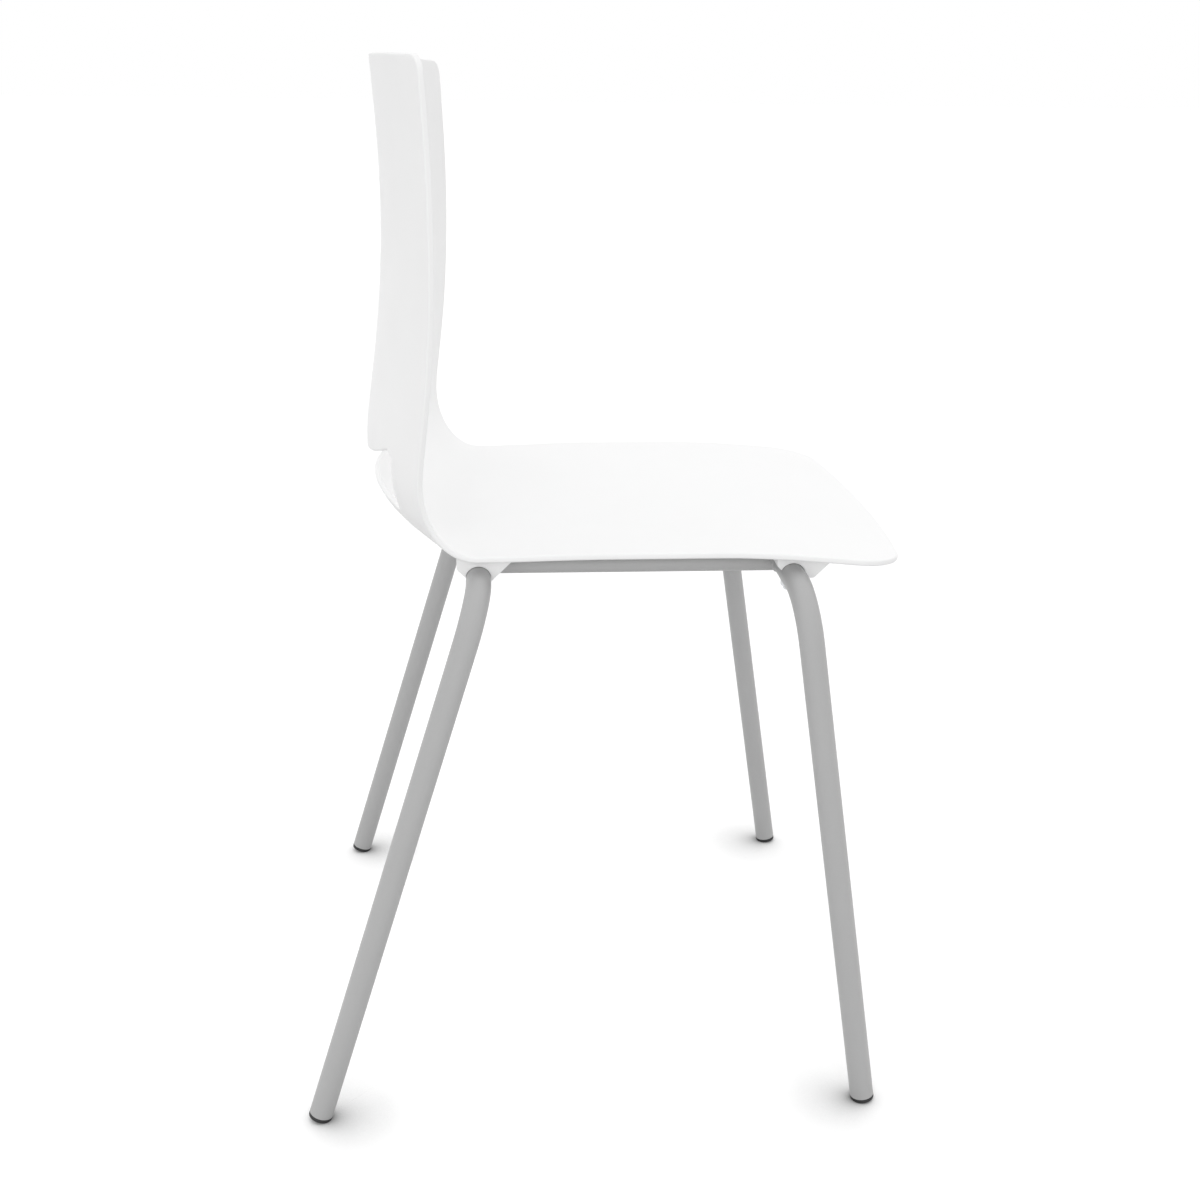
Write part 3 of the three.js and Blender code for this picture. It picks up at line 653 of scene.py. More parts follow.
def arc(centre, radius, start, end, step=CORNER_STEP):
    """Points on an arc, from one angle to the other in radians."""
    count = max(LEAST_CORNER_STEPS, round(abs(end - start) * radius / step))
    angles = [lerp(start, end, i / count) for i in range(count + 1)]
    return [(centre[0] + radius * math.cos(a), centre[1] + radius * math.sin(a)) for a in angles]


def bowed(start, control, end, step=EDGE_STEP):
    """Points between two others on a quadratic curve, without its two ends."""
    count = round(math.dist(start, end) / step)
    shares = [i / count for i in range(1, count)]
    return [
        tuple((1 - t) ** 2 * a + 2 * t * (1 - t) * b + t * t * c for a, b, c in zip(start, control, end))
        for t in shares
    ]


def bowed_edge(peak, width, radius, bow):
    """A bowed edge with a round corner at each end, from +width/2 to -width/2 across."""
    half = width / 2 - radius
    turn = math.atan(2 * bow / half)
    reach = half + radius * math.sin(turn)
    base = peak - reach * math.tan(turn) / 2
    corner = base - radius * math.cos(turn)
    middle = (0, base + reach * math.tan(turn))
    return (
        arc((half, corner), radius, 0, math.pi / 2 - turn)
        + bowed((reach, base), middle, (-reach, base))
        + arc((-half, corner), radius, math.pi / 2 + turn, math.pi)
    )


def shell_outline(surface):
    """The sheet's outer edge, anticlockwise in (distance along, y)."""
    stations = surface.stations
    top, front = [], []
    for across, height in bowed_edge(SHELL_TOP - EDGE_TILT, BACK_WIDTH, TOP_CORNER_RADIUS, TOP_BOW):
        top.append(surface.where(2, height, across / (BACK_WIDTH / 2), 0, stations[1], across=True))
    for across, ahead in bowed_edge(FRONT_EDGE - EDGE_TILT, FRONT_WIDTH, FRONT_CORNER_RADIUS, FRONT_BOW):
        share = across / (FRONT_WIDTH / 2)
        front.append(surface.where(0, ahead, share, stations[4], stations[6], across=True))
    low, high = top[0][0], front[0][0]
    count = round((high - low) / EDGE_STEP)
    edge = [lerp(low, high, i / count) for i in range(1, count)]
    half = [float(surface.along(at, surface.half_widths)) for at in edge]
    left = [(at, y) for at, y in zip(edge, half)]
    right = [(at, -y) for at, y in zip(edge, half)]
    return right + front[::-1] + left[::-1] + top


def opening_outline(surface):
    """The edge of the opening, anticlockwise in (distance along, y)."""
    radius = OPENING_CORNER_RADIUS
    half = OPENING_WIDTH / 2
    bottom = SEAT_EDGE + OPENING_RISE
    rise = OPENING_END_HEIGHT - OPENING_MIDDLE_HEIGHT
    turn = math.atan(2 * rise / half)
    corner_y = half - radius
    corner_z = bottom + OPENING_END_HEIGHT - radius
    end_z = corner_z + radius * math.cos(turn)
    reach = corner_y - radius * math.sin(turn)
    low_turn = math.atan(2 * OPENING_LIP_BOW / corner_y)
    low_reach = corner_y - radius * math.sin(low_turn)
    low_end = bottom + radius * (1 - math.cos(low_turn))
    low_middle = (0, low_end + low_reach * math.tan(low_turn))
    outline = (
        bowed((-low_reach, low_end), low_middle, (low_reach, low_end))
        + arc((corner_y, bottom + radius), radius, -math.pi / 2 - low_turn, 0)
        + bowed((half, bottom + radius), (half, lerp(bottom + radius, corner_z, 0.5)), (half, corner_z))
        + arc((corner_y, corner_z), radius, 0, math.pi / 2 + turn)
        + bowed((reach, end_z), (0, 2 * (bottom + OPENING_MIDDLE_HEIGHT) - end_z), (-reach, end_z))
        + arc((-corner_y, corner_z), radius, math.pi / 2 - turn, math.pi)
        + bowed((-half, corner_z), (-half, lerp(bottom + radius, corner_z, 0.5)), (-half, bottom + radius))
        + arc((-corner_y, bottom + radius), radius, math.pi, 1.5 * math.pi + low_turn)
    )
    low, high = surface.stations[1], surface.stations[3]
    return [surface.where(2, z, y, low, high) for y, z in outline]


def inward(surface, outline, towards):
    """For each point of an edge, the step in the sheet for one millimetre at right angles to the edge."""
    at, y = np.array(outline).T
    place = surface.point(at, y)
    run = np.roll(place, -1, axis=0) - np.roll(place, 1, axis=0)
    sideways = np.cross(surface.normal(at, y), run) * towards
    sideways /= np.linalg.norm(sideways, axis=1)[:, None]
    along, across = surface.slopes(at, y)
    steps = []
    for a, b, s in zip(along, across, sideways):
        steps.append(np.linalg.lstsq(np.stack([a, b], 1), s, rcond=None)[0])
    return np.array(steps)


def rim_section(wall, radius):
    """Distance from the edge and half thickness of the wall, from the middle of the rim inwards."""
    section = [(0.0, 0.0), (0.0, wall / 2 - radius)]
    for i in range(1, RIM_STEPS + 1):
        turn = math.pi / 2 * i / RIM_STEPS
        section.append((radius * (1 - math.cos(turn)), wall / 2 - radius + radius * math.sin(turn)))
    return section + [(radius + RIM_HOLD, wall / 2)]


def inside(points, polygon):
    """Which points lie inside a closed polygon: those from which a ray crosses its edge an odd number of
    times."""
    x, y = points[:, 0][:, None], points[:, 1][:, None]
    ax, ay = polygon[:, 0][None], polygon[:, 1][None]
    bx, by = np.roll(ax, -1, axis=1), np.roll(ay, -1, axis=1)
    rise = np.where(by == ay, 1, by - ay)  # a level side isn't crossed
    crosses = ((ay > y) != (by > y)) & (x < (bx - ax) * (y - ay) / rise + ax)
    return crosses.sum(axis=1) % 2 == 1


def shell_sheet(surface, wall, radius):
    """The middle surface as a flat mesh bent to shape, with the half thickness and the direction towards
    the sitter at each of its points."""
    section = rim_section(wall / MM, radius / MM)
    edges = ((np.array(shell_outline(surface)), 1), (np.array(opening_outline(surface)), -1))
    places, halves, faces, borders = [], [], [], []
    for outline, towards in edges:
        step = inward(surface, outline, towards)
        count = len(outline)
        first = len(places)
        for distance, half in section:
            places.extend(outline + step * distance)
            halves.extend([half] * count)
        for ring in range(len(section) - 1):
            a = first + ring * count
            for i in range(count):
                j = (i + 1) % count
                quad = (a + i, a + j, a + count + j, a + count + i)
                faces.append(quad if towards > 0 else quad[::-1])
        borders.append(list(range(first + (len(section) - 1) * count, len(places))))
    sheet = np.array(places)
    outer, opening = sheet[borders[0]], sheet[borders[1]]
    grid = grid_inside(outer, opening)
    border = borders[0] + borders[1]
    loops = []
    first = 0
    for ring in borders:
        loops += [(first + i, first + (i + 1) % len(ring)) for i in range(len(ring))]
        first += len(ring)
    flat = [Vector(sheet[i]) for i in border] + [Vector(point) for point in grid]
    found, _, triangles, origins, _, _ = delaunay_2d_cdt(flat, loops, [], 0, SAME_PLACE)
    middles = np.array([sum((found[i] for i in triangle), Vector((0, 0))) / 3 for triangle in triangles])
    kept = inside(middles, outer) & ~inside(middles, opening)
    start = len(places)
    places.extend(grid)
    halves.extend([wall / MM / 2] * len(grid))
    number = [
        border[own[0]] if own[0] < len(border) else start + own[0] - len(border) for own in origins
    ]
    faces += [tuple(number[i] for i in triangle) for triangle, keep in zip(triangles, kept) if keep]
    at, y = np.array(places).T
    return surface.point(at, y), surface.normal(at, y), halves, faces


def grid_inside(outer, opening):
    """Points inside the sheet, in staggered rows, none close to an edge."""
    low, high = outer.min(axis=0), outer.max(axis=0)
    rows = np.arange(low[0], high[0], SHEET_STEP * math.sqrt(3) / 2)
    columns = np.arange(low[1], high[1], SHEET_STEP)
    grid = np.array([
        (at, y + (SHEET_STEP / 2 if row % 2 else 0)) for row, at in enumerate(rows) for y in columns
    ])
    grid = grid[inside(grid, outer) & ~inside(grid, opening)]
    edge = np.concatenate([outer, opening])
    nearest = np.array([np.hypot(*(edge - point).T).min() for point in grid])
    return grid[nearest > EDGE_CLEARANCE]


def to_frame(points):
    """Millimetres from the rear cross tube to metres in the frame."""
    return np.asarray(points) * MM + np.array([AXIS_X["rear"], 0, 0])


def wall_tree():
    """Gives a sheet its wall: two faces, each half the wall away, that meet round every rim."""
    tree, entry = geometry_tree("Moulded wall", Wall="Float", Material="Material")
    share = attribute(tree, "wall_share")
    towards = attribute(tree, "towards_sitter", "FLOAT_VECTOR")
    half = add(tree, "ShaderNodeMath", entry["Wall"], 0.5, operation="MULTIPLY")
    away = add(tree, "ShaderNodeMath", half, share, operation="MULTIPLY")
    raised = add(tree, "ShaderNodeVectorMath", towards, ("Scale", away), operation="SCALE")
    lowered = add(tree, "ShaderNodeVectorMath", raised, ("Scale", -1.0), operation="SCALE")
    upper = add(tree, "GeometryNodeSetPosition", entry["Geometry"], ("Offset", raised))
    lower = add(tree, "GeometryNodeSetPosition", entry["Geometry"], ("Offset", lowered))
    lower = add(tree, "GeometryNodeFlipFaces", lower)
    both = add(tree, "GeometryNodeJoinGeometry", upper)
    tree.links.new(result(lower), both.inputs["Geometry"])
    closed = add(tree, "GeometryNodeMergeByDistance", both, ("Distance", 0.001 * MM))
    finish_tree(tree, closed, entry["Material"], ("wall_share", "towards_sitter"))
    return tree


class CHAIR_OT_shell(bpy.types.Operator):
    """Builds the one-piece seat and back, with round rims and the opening at the lower back"""

    bl_idname = "chair.shell"
    bl_label = "Shell"

    def execute(self, context):
        settings = context.scene.chair_shell
        material = moulded_polypropylene(settings)
        points, towards, halves, faces = shell_sheet(ShellSurface(), settings.wall, settings.rim_radius)
        sheet = mesh_of("shell_sheet", to_frame(points), faces)
        share = sheet.attributes.new("wall_share", "FLOAT", "POINT")
        share.data.foreach_set("value", np.array(halves) / (settings.wall / MM / 2))
        direction = sheet.attributes.new("towards_sitter", "FLOAT_VECTOR", "POINT")
        direction.data.foreach_set("vector", towards.astype(np.float32).ravel())
        shell = grow("moulded_shell", sheet, wall_tree(), Wall=settings.wall, Material=material)
        settle(shell, "shell_plastic", "seat_shell")
        return {"FINISHED"}


# ---- Frame ----


def loop_tree():
    """A tube along a path of straight stretches, with round bends and square ends."""
    tree, entry = geometry_tree(
        "Bent tube", Radius="Float", Bend="Float", Step="Float", Sides="Int", Material="Material"
    )
    path = add(tree, "GeometryNodeMeshToCurve", entry["Geometry"])
    path = add(tree, "GeometryNodeFilletCurve", path, BEND_STEPS, ("Radius", entry["Bend"]), mode="POLY")
    path = add(tree, "GeometryNodeResampleCurve", path, ("Length", entry["Step"]), mode="LENGTH")
    section = add(
        tree, "GeometryNodeCurvePrimitiveCircle", entry["Sides"], ("Radius", entry["Radius"]), mode="RADIUS"
    )
    tube = add(tree, "GeometryNodeCurveToMesh", path, section)
    finish_tree(tree, tube, entry["Material"])
    return tree


def leg_point(settings, end, side, height):
    """A point on a leg's axis at that height."""
    fall = AXIS_HEIGHT - height
    lean = math.tan(settings.front_lean) if end == "front" else -math.tan(settings.rear_lean)
    y = SIDES[side] * (settings.width / 2 + math.tan(settings.splay) * fall)
    return Vector((AXIS_X[end] + lean * fall, y, height))


def foot_point(tube, glide, end, side, distance):
    """A point on a leg's axis, at a distance along it from the underside of its sole. The sole is square to
    the leg, and the floor cuts a flat at its lowest place."""
    upward = (leg_point(tube, end, side, 1) - leg_point(tube, end, side, 0)).normalized()
    tilt = math.sqrt(1 - upward.z ** 2)
    middle = leg_point(tube, end, side, (TUBE_RADIUS - glide.flat) * tilt)
    return middle + upward * distance


def hollow_out(piece, wall):
    """Gives an open tube its wall, inwards, with a rim at each end."""
    shell = piece.modifiers.new("tube wall", "SOLIDIFY")
    shell.thickness = wall
    shell.offset = -1
    shell.use_even_offset = True
    shell.use_rim = True
    plain_mesh(piece)
    sharpen(piece, TUBE_SHARP)


def powder_coat_once(settings):
    return bpy.data.materials.get("powder_coat") or powder_coat(settings)


class CHAIR_OT_leg_loops(bpy.types.Operator):
    """Bends each pair of legs and their cross tube from one tube"""

    bl_idname = "chair.leg_loops"
    bl_label = "Leg loops"

    def execute(self, context):
        settings = context.scene.chair_frame
        glide = context.scene.chair_glides
        tree = loop_tree()
        for end in ENDS:
            corners = [
                foot_point(settings, glide, end, "right", glide.sole + CLEARANCE),
                leg_point(settings, end, "right", AXIS_HEIGHT),
                leg_point(settings, end, "left", AXIS_HEIGHT),
                foot_point(settings, glide, end, "left", glide.sole + CLEARANCE),
            ]
            path = bpy.data.meshes.new(end + "_path")
            path.from_pydata([tuple(corner) for corner in corners], [(0, 1), (1, 2), (2, 3)], [])
            loop = grow(
                end + "_legs", path, tree,
                Radius=TUBE_RADIUS, Bend=settings.bend_radius, Step=TUBE_STEP, Sides=settings.sides,
                Material=powder_coat_once(settings),
            )
            hollow_out(loop, settings.tube_wall)
            settle(loop, "frame_paint", end + "_leg_loop")
        return {"FINISHED"}


def rail_tree():
    """A straight tube whose two ends are hollowed to lie against round tubes."""
    tree, entry = geometry_tree(
        "Coped rail", Radius="Float", Tube="Float", Height="Float", Sides="Int", Material="Material"
    )
    path = add(tree, "GeometryNodeMeshToCurve", entry["Geometry"])
    path = add(tree, "GeometryNodeResampleCurve", path, ("Count", RAIL_RINGS), mode="COUNT")
    start = add(tree, "GeometryNodeCurveEndpointSelection", 1, 0)
    stop = add(tree, "GeometryNodeCurveEndpointSelection", 0, 1)
    cope = add(tree, "ShaderNodeMath", start, stop, operation="SUBTRACT")
    path = add(
        tree, "GeometryNodeStoreNamedAttribute", path, ("Name", "cope"), ("Value", cope),
        data_type="FLOAT", domain="POINT",
    )
    section = add(
        tree, "GeometryNodeCurvePrimitiveCircle", entry["Sides"], ("Radius", entry["Radius"]), mode="RADIUS"
    )
    tube = add(tree, "GeometryNodeCurveToMesh", path, section)
    way = attribute(tree, "cope")
    reach = tube_reach(tree, entry["Tube"], entry["Height"])
    shift = add(tree, "ShaderNodeMath", way, reach, operation="MULTIPLY")
    offset = add(tree, "ShaderNodeCombineXYZ", shift, 0.0, 0.0)
    tube = add(tree, "GeometryNodeSetPosition", tube, ("Offset", offset))
    finish_tree(tree, tube, entry["Material"], ("cope",))
    return tree


def tube_reach(tree, radius, height):
    """How far a cross tube's face stands from its axis, level with each point."""
    place = add(tree, "GeometryNodeInputPosition")
    level = add(tree, "ShaderNodeSeparateXYZ", place).outputs["Z"]
    above = add(tree, "ShaderNodeMath", level, height, operation="SUBTRACT")
    squared = add(tree, "ShaderNodeMath", above, above, operation="MULTIPLY")
    full = add(tree, "ShaderNodeMath", radius, radius, operation="MULTIPLY")
    left = add(tree, "ShaderNodeMath", full, squared, operation="SUBTRACT")
    return add(tree, "ShaderNodeMath", left, operation="SQRT")


def weld_tree():
    """Weld beads: a rippled ring round each rail's end, where it lies against its cross tube."""
    tree, entry = geometry_tree(
        "Weld beads", Rail="Float", Tube="Float", Bead="Float", Height="Float", Material="Material"
    )
    ring = add(
        tree, "GeometryNodeCurvePrimitiveCircle", WELD_POINTS, ("Radius", entry["Rail"]), mode="RADIUS"
    )
    ring = add(tree, "GeometryNodeTransform", ring, ("Rotation", (0.0, math.pi / 2, 0.0)))
    rings = add(tree, "GeometryNodeInstanceOnPoints", entry["Geometry"], ("Instance", ring))
    rings = add(tree, "GeometryNodeRealizeInstances", rings)
    reach = tube_reach(tree, entry["Tube"], entry["Height"])
    side = attribute(tree, "rail_way")
    shift = add(tree, "ShaderNodeMath", side, reach, operation="MULTIPLY")
    offset = add(tree, "ShaderNodeCombineXYZ", shift, 0.0, 0.0)
    rings = add(tree, "GeometryNodeSetPosition", rings, ("Offset", offset))
    index = add(tree, "GeometryNodeInputIndex")
    turn = add(tree, "ShaderNodeMath", index, 2 * math.pi / WELD_RIPPLE, operation="MULTIPLY")
    wave = add(tree, "ShaderNodeMath", turn, operation="SINE")
    swell = add(tree, "ShaderNodeMath", wave, WELD_SWELL, 1.0, operation="MULTIPLY_ADD")
    section = add(
        tree, "GeometryNodeCurvePrimitiveCircle", WELD_SIDES, ("Radius", entry["Bead"]), mode="RADIUS"
    )
    beads = add(tree, "GeometryNodeCurveToMesh", rings, section, ("Scale", swell))
    finish_tree(tree, beads, entry["Material"], ("rail_way",))
    return tree


class CHAIR_OT_rails(bpy.types.Operator):
    """Builds the two side rails and the weld beads at their ends"""

    bl_idname = "chair.rails"
    bl_label = "Side rails"

    def execute(self, context):
        settings = context.scene.chair_frame
        coat = powder_coat_once(settings)
        tree = rail_tree()
        for side, sign in SIDES.items():
            ends = [(AXIS_X[end], sign * RAIL_Y, AXIS_HEIGHT) for end in ENDS]
            path = bpy.data.meshes.new(side + "_rail_path")
            path.from_pydata(ends, [(0, 1)], [])
            rail = grow(
                side + "_rail", path, tree,
                Radius=RAIL_RADIUS, Tube=TUBE_RADIUS, Height=AXIS_HEIGHT, Sides=settings.sides,
                Material=coat,
            )
            hollow_out(rail, settings.tube_wall)
            settle(rail, "frame_paint", "side_rail_" + side)
        places = [(AXIS_X[end], sign * RAIL_Y, AXIS_HEIGHT) for end in ENDS for sign in SIDES.values()]
        points = points_mesh("weld_points", places, rail_way=[1.0, 1.0, -1.0, -1.0])
        beads = grow(
            "weld_beads", points, weld_tree(),
            Rail=RAIL_RADIUS, Tube=TUBE_RADIUS, Bead=settings.weld / 2, Height=AXIS_HEIGHT, Material=coat,
        )
        settle(beads, "frame_paint")
        return {"FINISHED"}


# ---- Saddles ----


def under_shell(surface, y, gap):
    """The x and z of the shell's underside along a line of constant y, less the gap."""
    at = np.linspace(surface.stations[2], surface.stations[5], UNDERSIDE_STEPS)
    across = np.full(at.shape, float(y))
    below = surface.point(at, across) - surface.normal(at, across) * gap
    return below[:, 0], below[:, 2]


def shell_height(y):
    """Height of the shell's middle surface over the cross tubes, where it is the lower."""
    run, height = under_shell(ShellSurface(), y / MM, 0)
    return min(float(np.interp((x - AXIS_X["rear"]) / MM, run, height)) for x in AXIS_X.values()) * MM


def lip_drop(foot, seat):
    """How far below the tube's axis a saddle's sloping side ends: at the tube, or at the lip's bottom."""
    if foot * foot > 2 * seat * seat:
        return SADDLE_DROP
    return min((foot - math.sqrt(2 * seat * seat - foot * foot)) / 2, SADDLE_DROP)


def flank_end(run, height, axis, way, foot, reach):
    """How far out a saddle's sloping side goes before its upright side, which keeps its least height."""
    out = np.linspace(foot, reach, FLANK_STEPS)
    room = np.interp(axis + way * out, run, height) - (AXIS_HEIGHT / MM + out - foot)
    return float(out[room > SADDLE_SIDE][-1])


def saddle_section(surface, end, y, wall):
    """The saddle's outline in x and z at one place across, from its rear lip over the tube to the front."""
    axis = {"rear": 0.0, "front": (AXIS_X["front"] - AXIS_X["rear"]) / MM}[end]
    middle = AXIS_HEIGHT / MM
    foot_rear, foot_front = SADDLE_FOOT[end]
    reach_rear, reach_front = SADDLE_REACH[end]
    seat = (TUBE_RADIUS + CLEARANCE) / MM
    rear_drop, front_drop = lip_drop(foot_rear, seat), lip_drop(foot_front, seat)
    rear_turn, front_turn = math.asin(rear_drop / seat), math.asin(front_drop / seat)
    run, height = under_shell(surface, y, (wall / 2 + CLEARANCE) / MM)
    reach_rear = flank_end(run, height, axis, -1, foot_rear, reach_rear)
    reach_front = flank_end(run, height, axis, 1, foot_front, reach_front)
    outline = arc((axis, middle), seat, math.pi + rear_turn, -front_turn, step=SADDLE_SEAT_STEP)
    if front_drop == SADDLE_DROP:
        outline.append((axis + foot_front - front_drop, middle - front_drop))
    outline.append((axis + reach_front, middle + reach_front - foot_front))
    for i in range(SADDLE_TOP_STEPS + 1):
        x = lerp(axis + reach_front, axis - reach_rear, i / SADDLE_TOP_STEPS)
        outline.append((x, float(np.interp(x, run, height))))
    outline.append((axis - reach_rear, middle + reach_rear - foot_rear))
    return outline


def saddle_mesh(surface, end, side, wall):
    width = (SADDLE_HIGH.y - SADDLE_LOW.y) / MM
    middle = SIDES[side] * FASTENING_Y / MM
    places = [middle - width / 2 + width * i / SADDLE_SLICES for i in range(SADDLE_SLICES + 1)]
    sections = [saddle_section(surface, end, y, wall) for y in places]
    count = len(sections[0])
    points = [(x, y, z) for y, section in zip(places, sections) for x, z in section]
    faces = [tuple(range(count)), tuple(range(len(points) - 1, len(points) - 1 - count, -1))]
    for ring in range(SADDLE_SLICES):
        a, b = ring * count, (ring + 1) * count
        faces += [(a + i, b + i, b + (i + 1) % count, a + (i + 1) % count) for i in range(count)]
    return mesh_of(f"saddle_{end}_{side}", to_frame(points), faces)


class CHAIR_OT_saddles(bpy.types.Operator):
    """Builds the four moulded saddles that carry the shell on the cross tubes"""

    bl_idname = "chair.saddles"
    bl_label = "Saddles"

    def execute(self, context):
        settings = context.scene.chair_saddles
        material = moulded_saddle_plastic(settings)
        surface = ShellSurface()
        for end in ENDS:
            for side in SIDES:
                mesh = saddle_mesh(surface, end, side, context.scene.chair_shell.wall)
                piece = new_piece(f"saddle_block_{end}_{side}", mesh, material)
                mesh.shade_smooth()
                bevel = piece.modifiers.new("edges", "BEVEL")
                bevel.width = settings.rounding
                bevel.segments = SADDLE_ROUNDING_STEPS
                bevel.limit_method = "ANGLE"
                bevel.angle_limit = math.radians(SADDLE_SHARP)
                piece.modifiers.new("flat faces", "WEIGHTED_NORMAL")
                settle(piece, "saddle_plastic", f"saddle_{end}_{side}")
        return {"FINISHED"}


# ---- Fastenings and glides ----


def turned(name, section):
    """An upright turned part. The section goes from the axis out and back, as radius, height and shape:
    "round", or "hexagon" for a ring across whose flats the radius is measured."""
    sides = TURNED_SIDES
    sixth = math.pi / 3
    points, rings = [], []
    for radius, height, shape in section:
        if radius == 0:
            rings.append([len(points)])
            points.append((0, 0, height))
            continue
        ring = []
        for i in range(sides):
            turn = 2 * math.pi * i / sides
            out = radius
            if shape == "hexagon":
                out = radius / math.cos(turn % sixth - sixth / 2)
            ring.append(len(points))
            points.append((out * math.cos(turn), out * math.sin(turn), height))
        rings.append(ring)
    faces = []
    for low, high in zip(rings, rings[1:] + ([rings[0]] if len(rings[0]) > 1 else [])):
        for i in range(sides):
            j = (i + 1) % sides
            if len(low) == 1:
                faces.append((low[0], high[j], high[i]))
            elif len(high) == 1:
                faces.append((low[i], low[j], high[0]))
            else:
                faces.append((low[i], low[j], high[j], high[i]))
    mesh = mesh_of(name, points, faces)
    bm = bmesh.new()
    bm.from_mesh(mesh)
    bmesh.ops.recalc_face_normals(bm, faces=bm.faces)
    bm.to_mesh(mesh)
    bm.free()
    return mesh


def placing_tree():
    """Sets one turned part on each point, along the axis that the point gives. What would reach below the
    floor slides up that axis to it."""
    tree, entry = geometry_tree("Parts in place", Part="Object", Material="Material")
    part = add(tree, "GeometryNodeObjectInfo", entry["Part"])
    axis = attribute(tree, "axis", "FLOAT_VECTOR")
    turn = add(tree, "FunctionNodeAlignRotationToVector", ("Vector", axis), axis="Z")
    parts = add(
        tree, "GeometryNodeInstanceOnPoints", entry["Geometry"],
        ("Instance", part.outputs["Geometry"]), ("Rotation", turn),
    )
    parts = add(tree, "GeometryNodeRealizeInstances", parts)
    place = add(tree, "GeometryNodeInputPosition")
    height = add(tree, "ShaderNodeSeparateXYZ", place).outputs["Z"]
    below = add(tree, "ShaderNodeMath", height, 0.0, operation="MINIMUM")
    rise = add(tree, "ShaderNodeSeparateXYZ", axis).outputs["Z"]
    distance = add(tree, "ShaderNodeMath", below, rise, operation="DIVIDE")
    slide = add(tree, "ShaderNodeVectorMath", axis, ("Scale", distance), operation="SCALE")
    level = add(tree, "ShaderNodeVectorMath", place, slide, operation="SUBTRACT")
    parts = add(tree, "GeometryNodeSetPosition", parts, ("Position", level))
    finish_tree(tree, parts, entry["Material"], ("axis",))
    return tree


def set_out(name, part, places, material, axes=None):
    """One piece with a copy of the turned part on each place, upright or along the axis given."""
    tree = bpy.data.node_groups.get("Parts in place") or placing_tree()
    points = points_mesh(name + "_points", places, axis=axes or [(0.0, 0.0, 1.0)] * len(places))
    pattern = bpy.data.objects.new(name + "_pattern", part)
    piece = grow(name, points, tree, Part=pattern, Material=material)
    bpy.data.objects.remove(pattern)
    sharpen(piece, TURNED_SHARP)
    return piece


def corner_places(height):
    return [(AXIS_X[end], sign * FASTENING_Y, height) for end in ENDS for sign in SIDES.values()]


def rounded_corner(radius, height, rounding, going):
    """Section points of a rounded outer corner; going "up" turns from flat to upright."""
    points = []
    for i in range(CORNER_STEPS + 1):
        turn = math.pi / 2 * i / CORNER_STEPS
        flat, tall = rounding * math.sin(turn), rounding * (1 - math.cos(turn))
        if going == "up":
            points.append((radius - rounding + flat, height + tall, "round"))
        else:
            points.append((radius - tall, height - rounding + flat, "round"))
    return points


def screw_section(settings):
    """Pan-head screw with a hexagon socket, from the socket's floor to the point. Zero is its face."""
    head, shank, socket = settings.head / 2, settings.shank / 2, settings.socket / 2
    seat = settings.head_height
    tip = SCREW_HIGH.z - SCREW_LOW.z
    lead = SOCKET_CHAMFER
    return (
        [(0, settings.socket_depth, "round"), (socket, settings.socket_depth, "hexagon"),
         (socket, lead, "hexagon"), (socket + 2 * lead, 0, "round")]
        + rounded_corner(head, 0, settings.head_height / 3, "up")
        + [(head, seat - lead, "round"), (head - lead, seat, "round"), (shank, seat, "round"),
           (shank, tip - shank / 2, "round"), (shank / 2, tip, "round"), (0, tip, "round")]
    )


def washer_mesh(settings):
    """A washer whose top is hollowed to fit the tube."""
    radius = (WASHER_HIGH.y - WASHER_LOW.y) / 2
    hole = settings.shank / 2 + CLEARANCE
    rim = WASHER_HIGH.z - WASHER_LOW.z
    rounding = WASHER_ROUNDING
    section = [(hole, rounding, "round"), (hole + rounding, 0, "round")]
    section += rounded_corner(radius, 0, rounding, "up")
    section += [(lerp(radius, hole, i / WASHER_RINGS), rim, "round") for i in range(WASHER_RINGS + 1)]
    mesh = turned("washer", section)
    seat = TUBE_RADIUS + CLEARANCE
    axis = AXIS_HEIGHT - WASHER_LOW.z
    for vertex in mesh.vertices:
        if vertex.co.z > rim - rounding:
            vertex.co.z = min(rim, axis - math.sqrt(seat ** 2 - vertex.co.x ** 2))
    return mesh


class CHAIR_OT_fastenings(bpy.types.Operator):
    """Builds the screws, their washers and the bosses that they go into"""

    bl_idname = "chair.fastenings"
    bl_label = "Fastenings"

    def execute(self, context):
        settings = context.scene.chair_fastenings
        zinc = zinc_plate(settings)
        screw = turned("screw", screw_section(settings))
        screws = set_out("screws", screw, corner_places(SCREW_LOW.z), zinc)
        settle(screws, "zinc_steel", *named_nodes("screw"))
        washers = set_out("washers", washer_mesh(settings), corner_places(WASHER_LOW.z), zinc)
        settle(washers, "zinc_steel", *named_nodes("washer"))
        hole = settings.shank / 2 + CLEARANCE
        bottom = AXIS_HEIGHT + TUBE_RADIUS + CLEARANCE
        top = shell_height(FASTENING_Y) - bottom
        section = [(hole, 0, "round"), (settings.boss / 2, 0, "round"), (settings.boss / 2, top, "round"),
                   (hole, top, "round")]
        plastic = bpy.data.materials["moulded_polypropylene"]
        bosses = set_out("screw_bosses", turned("boss", section), corner_places(bottom), plastic)
        settle(bosses, "shell_plastic")
        return {"FINISHED"}


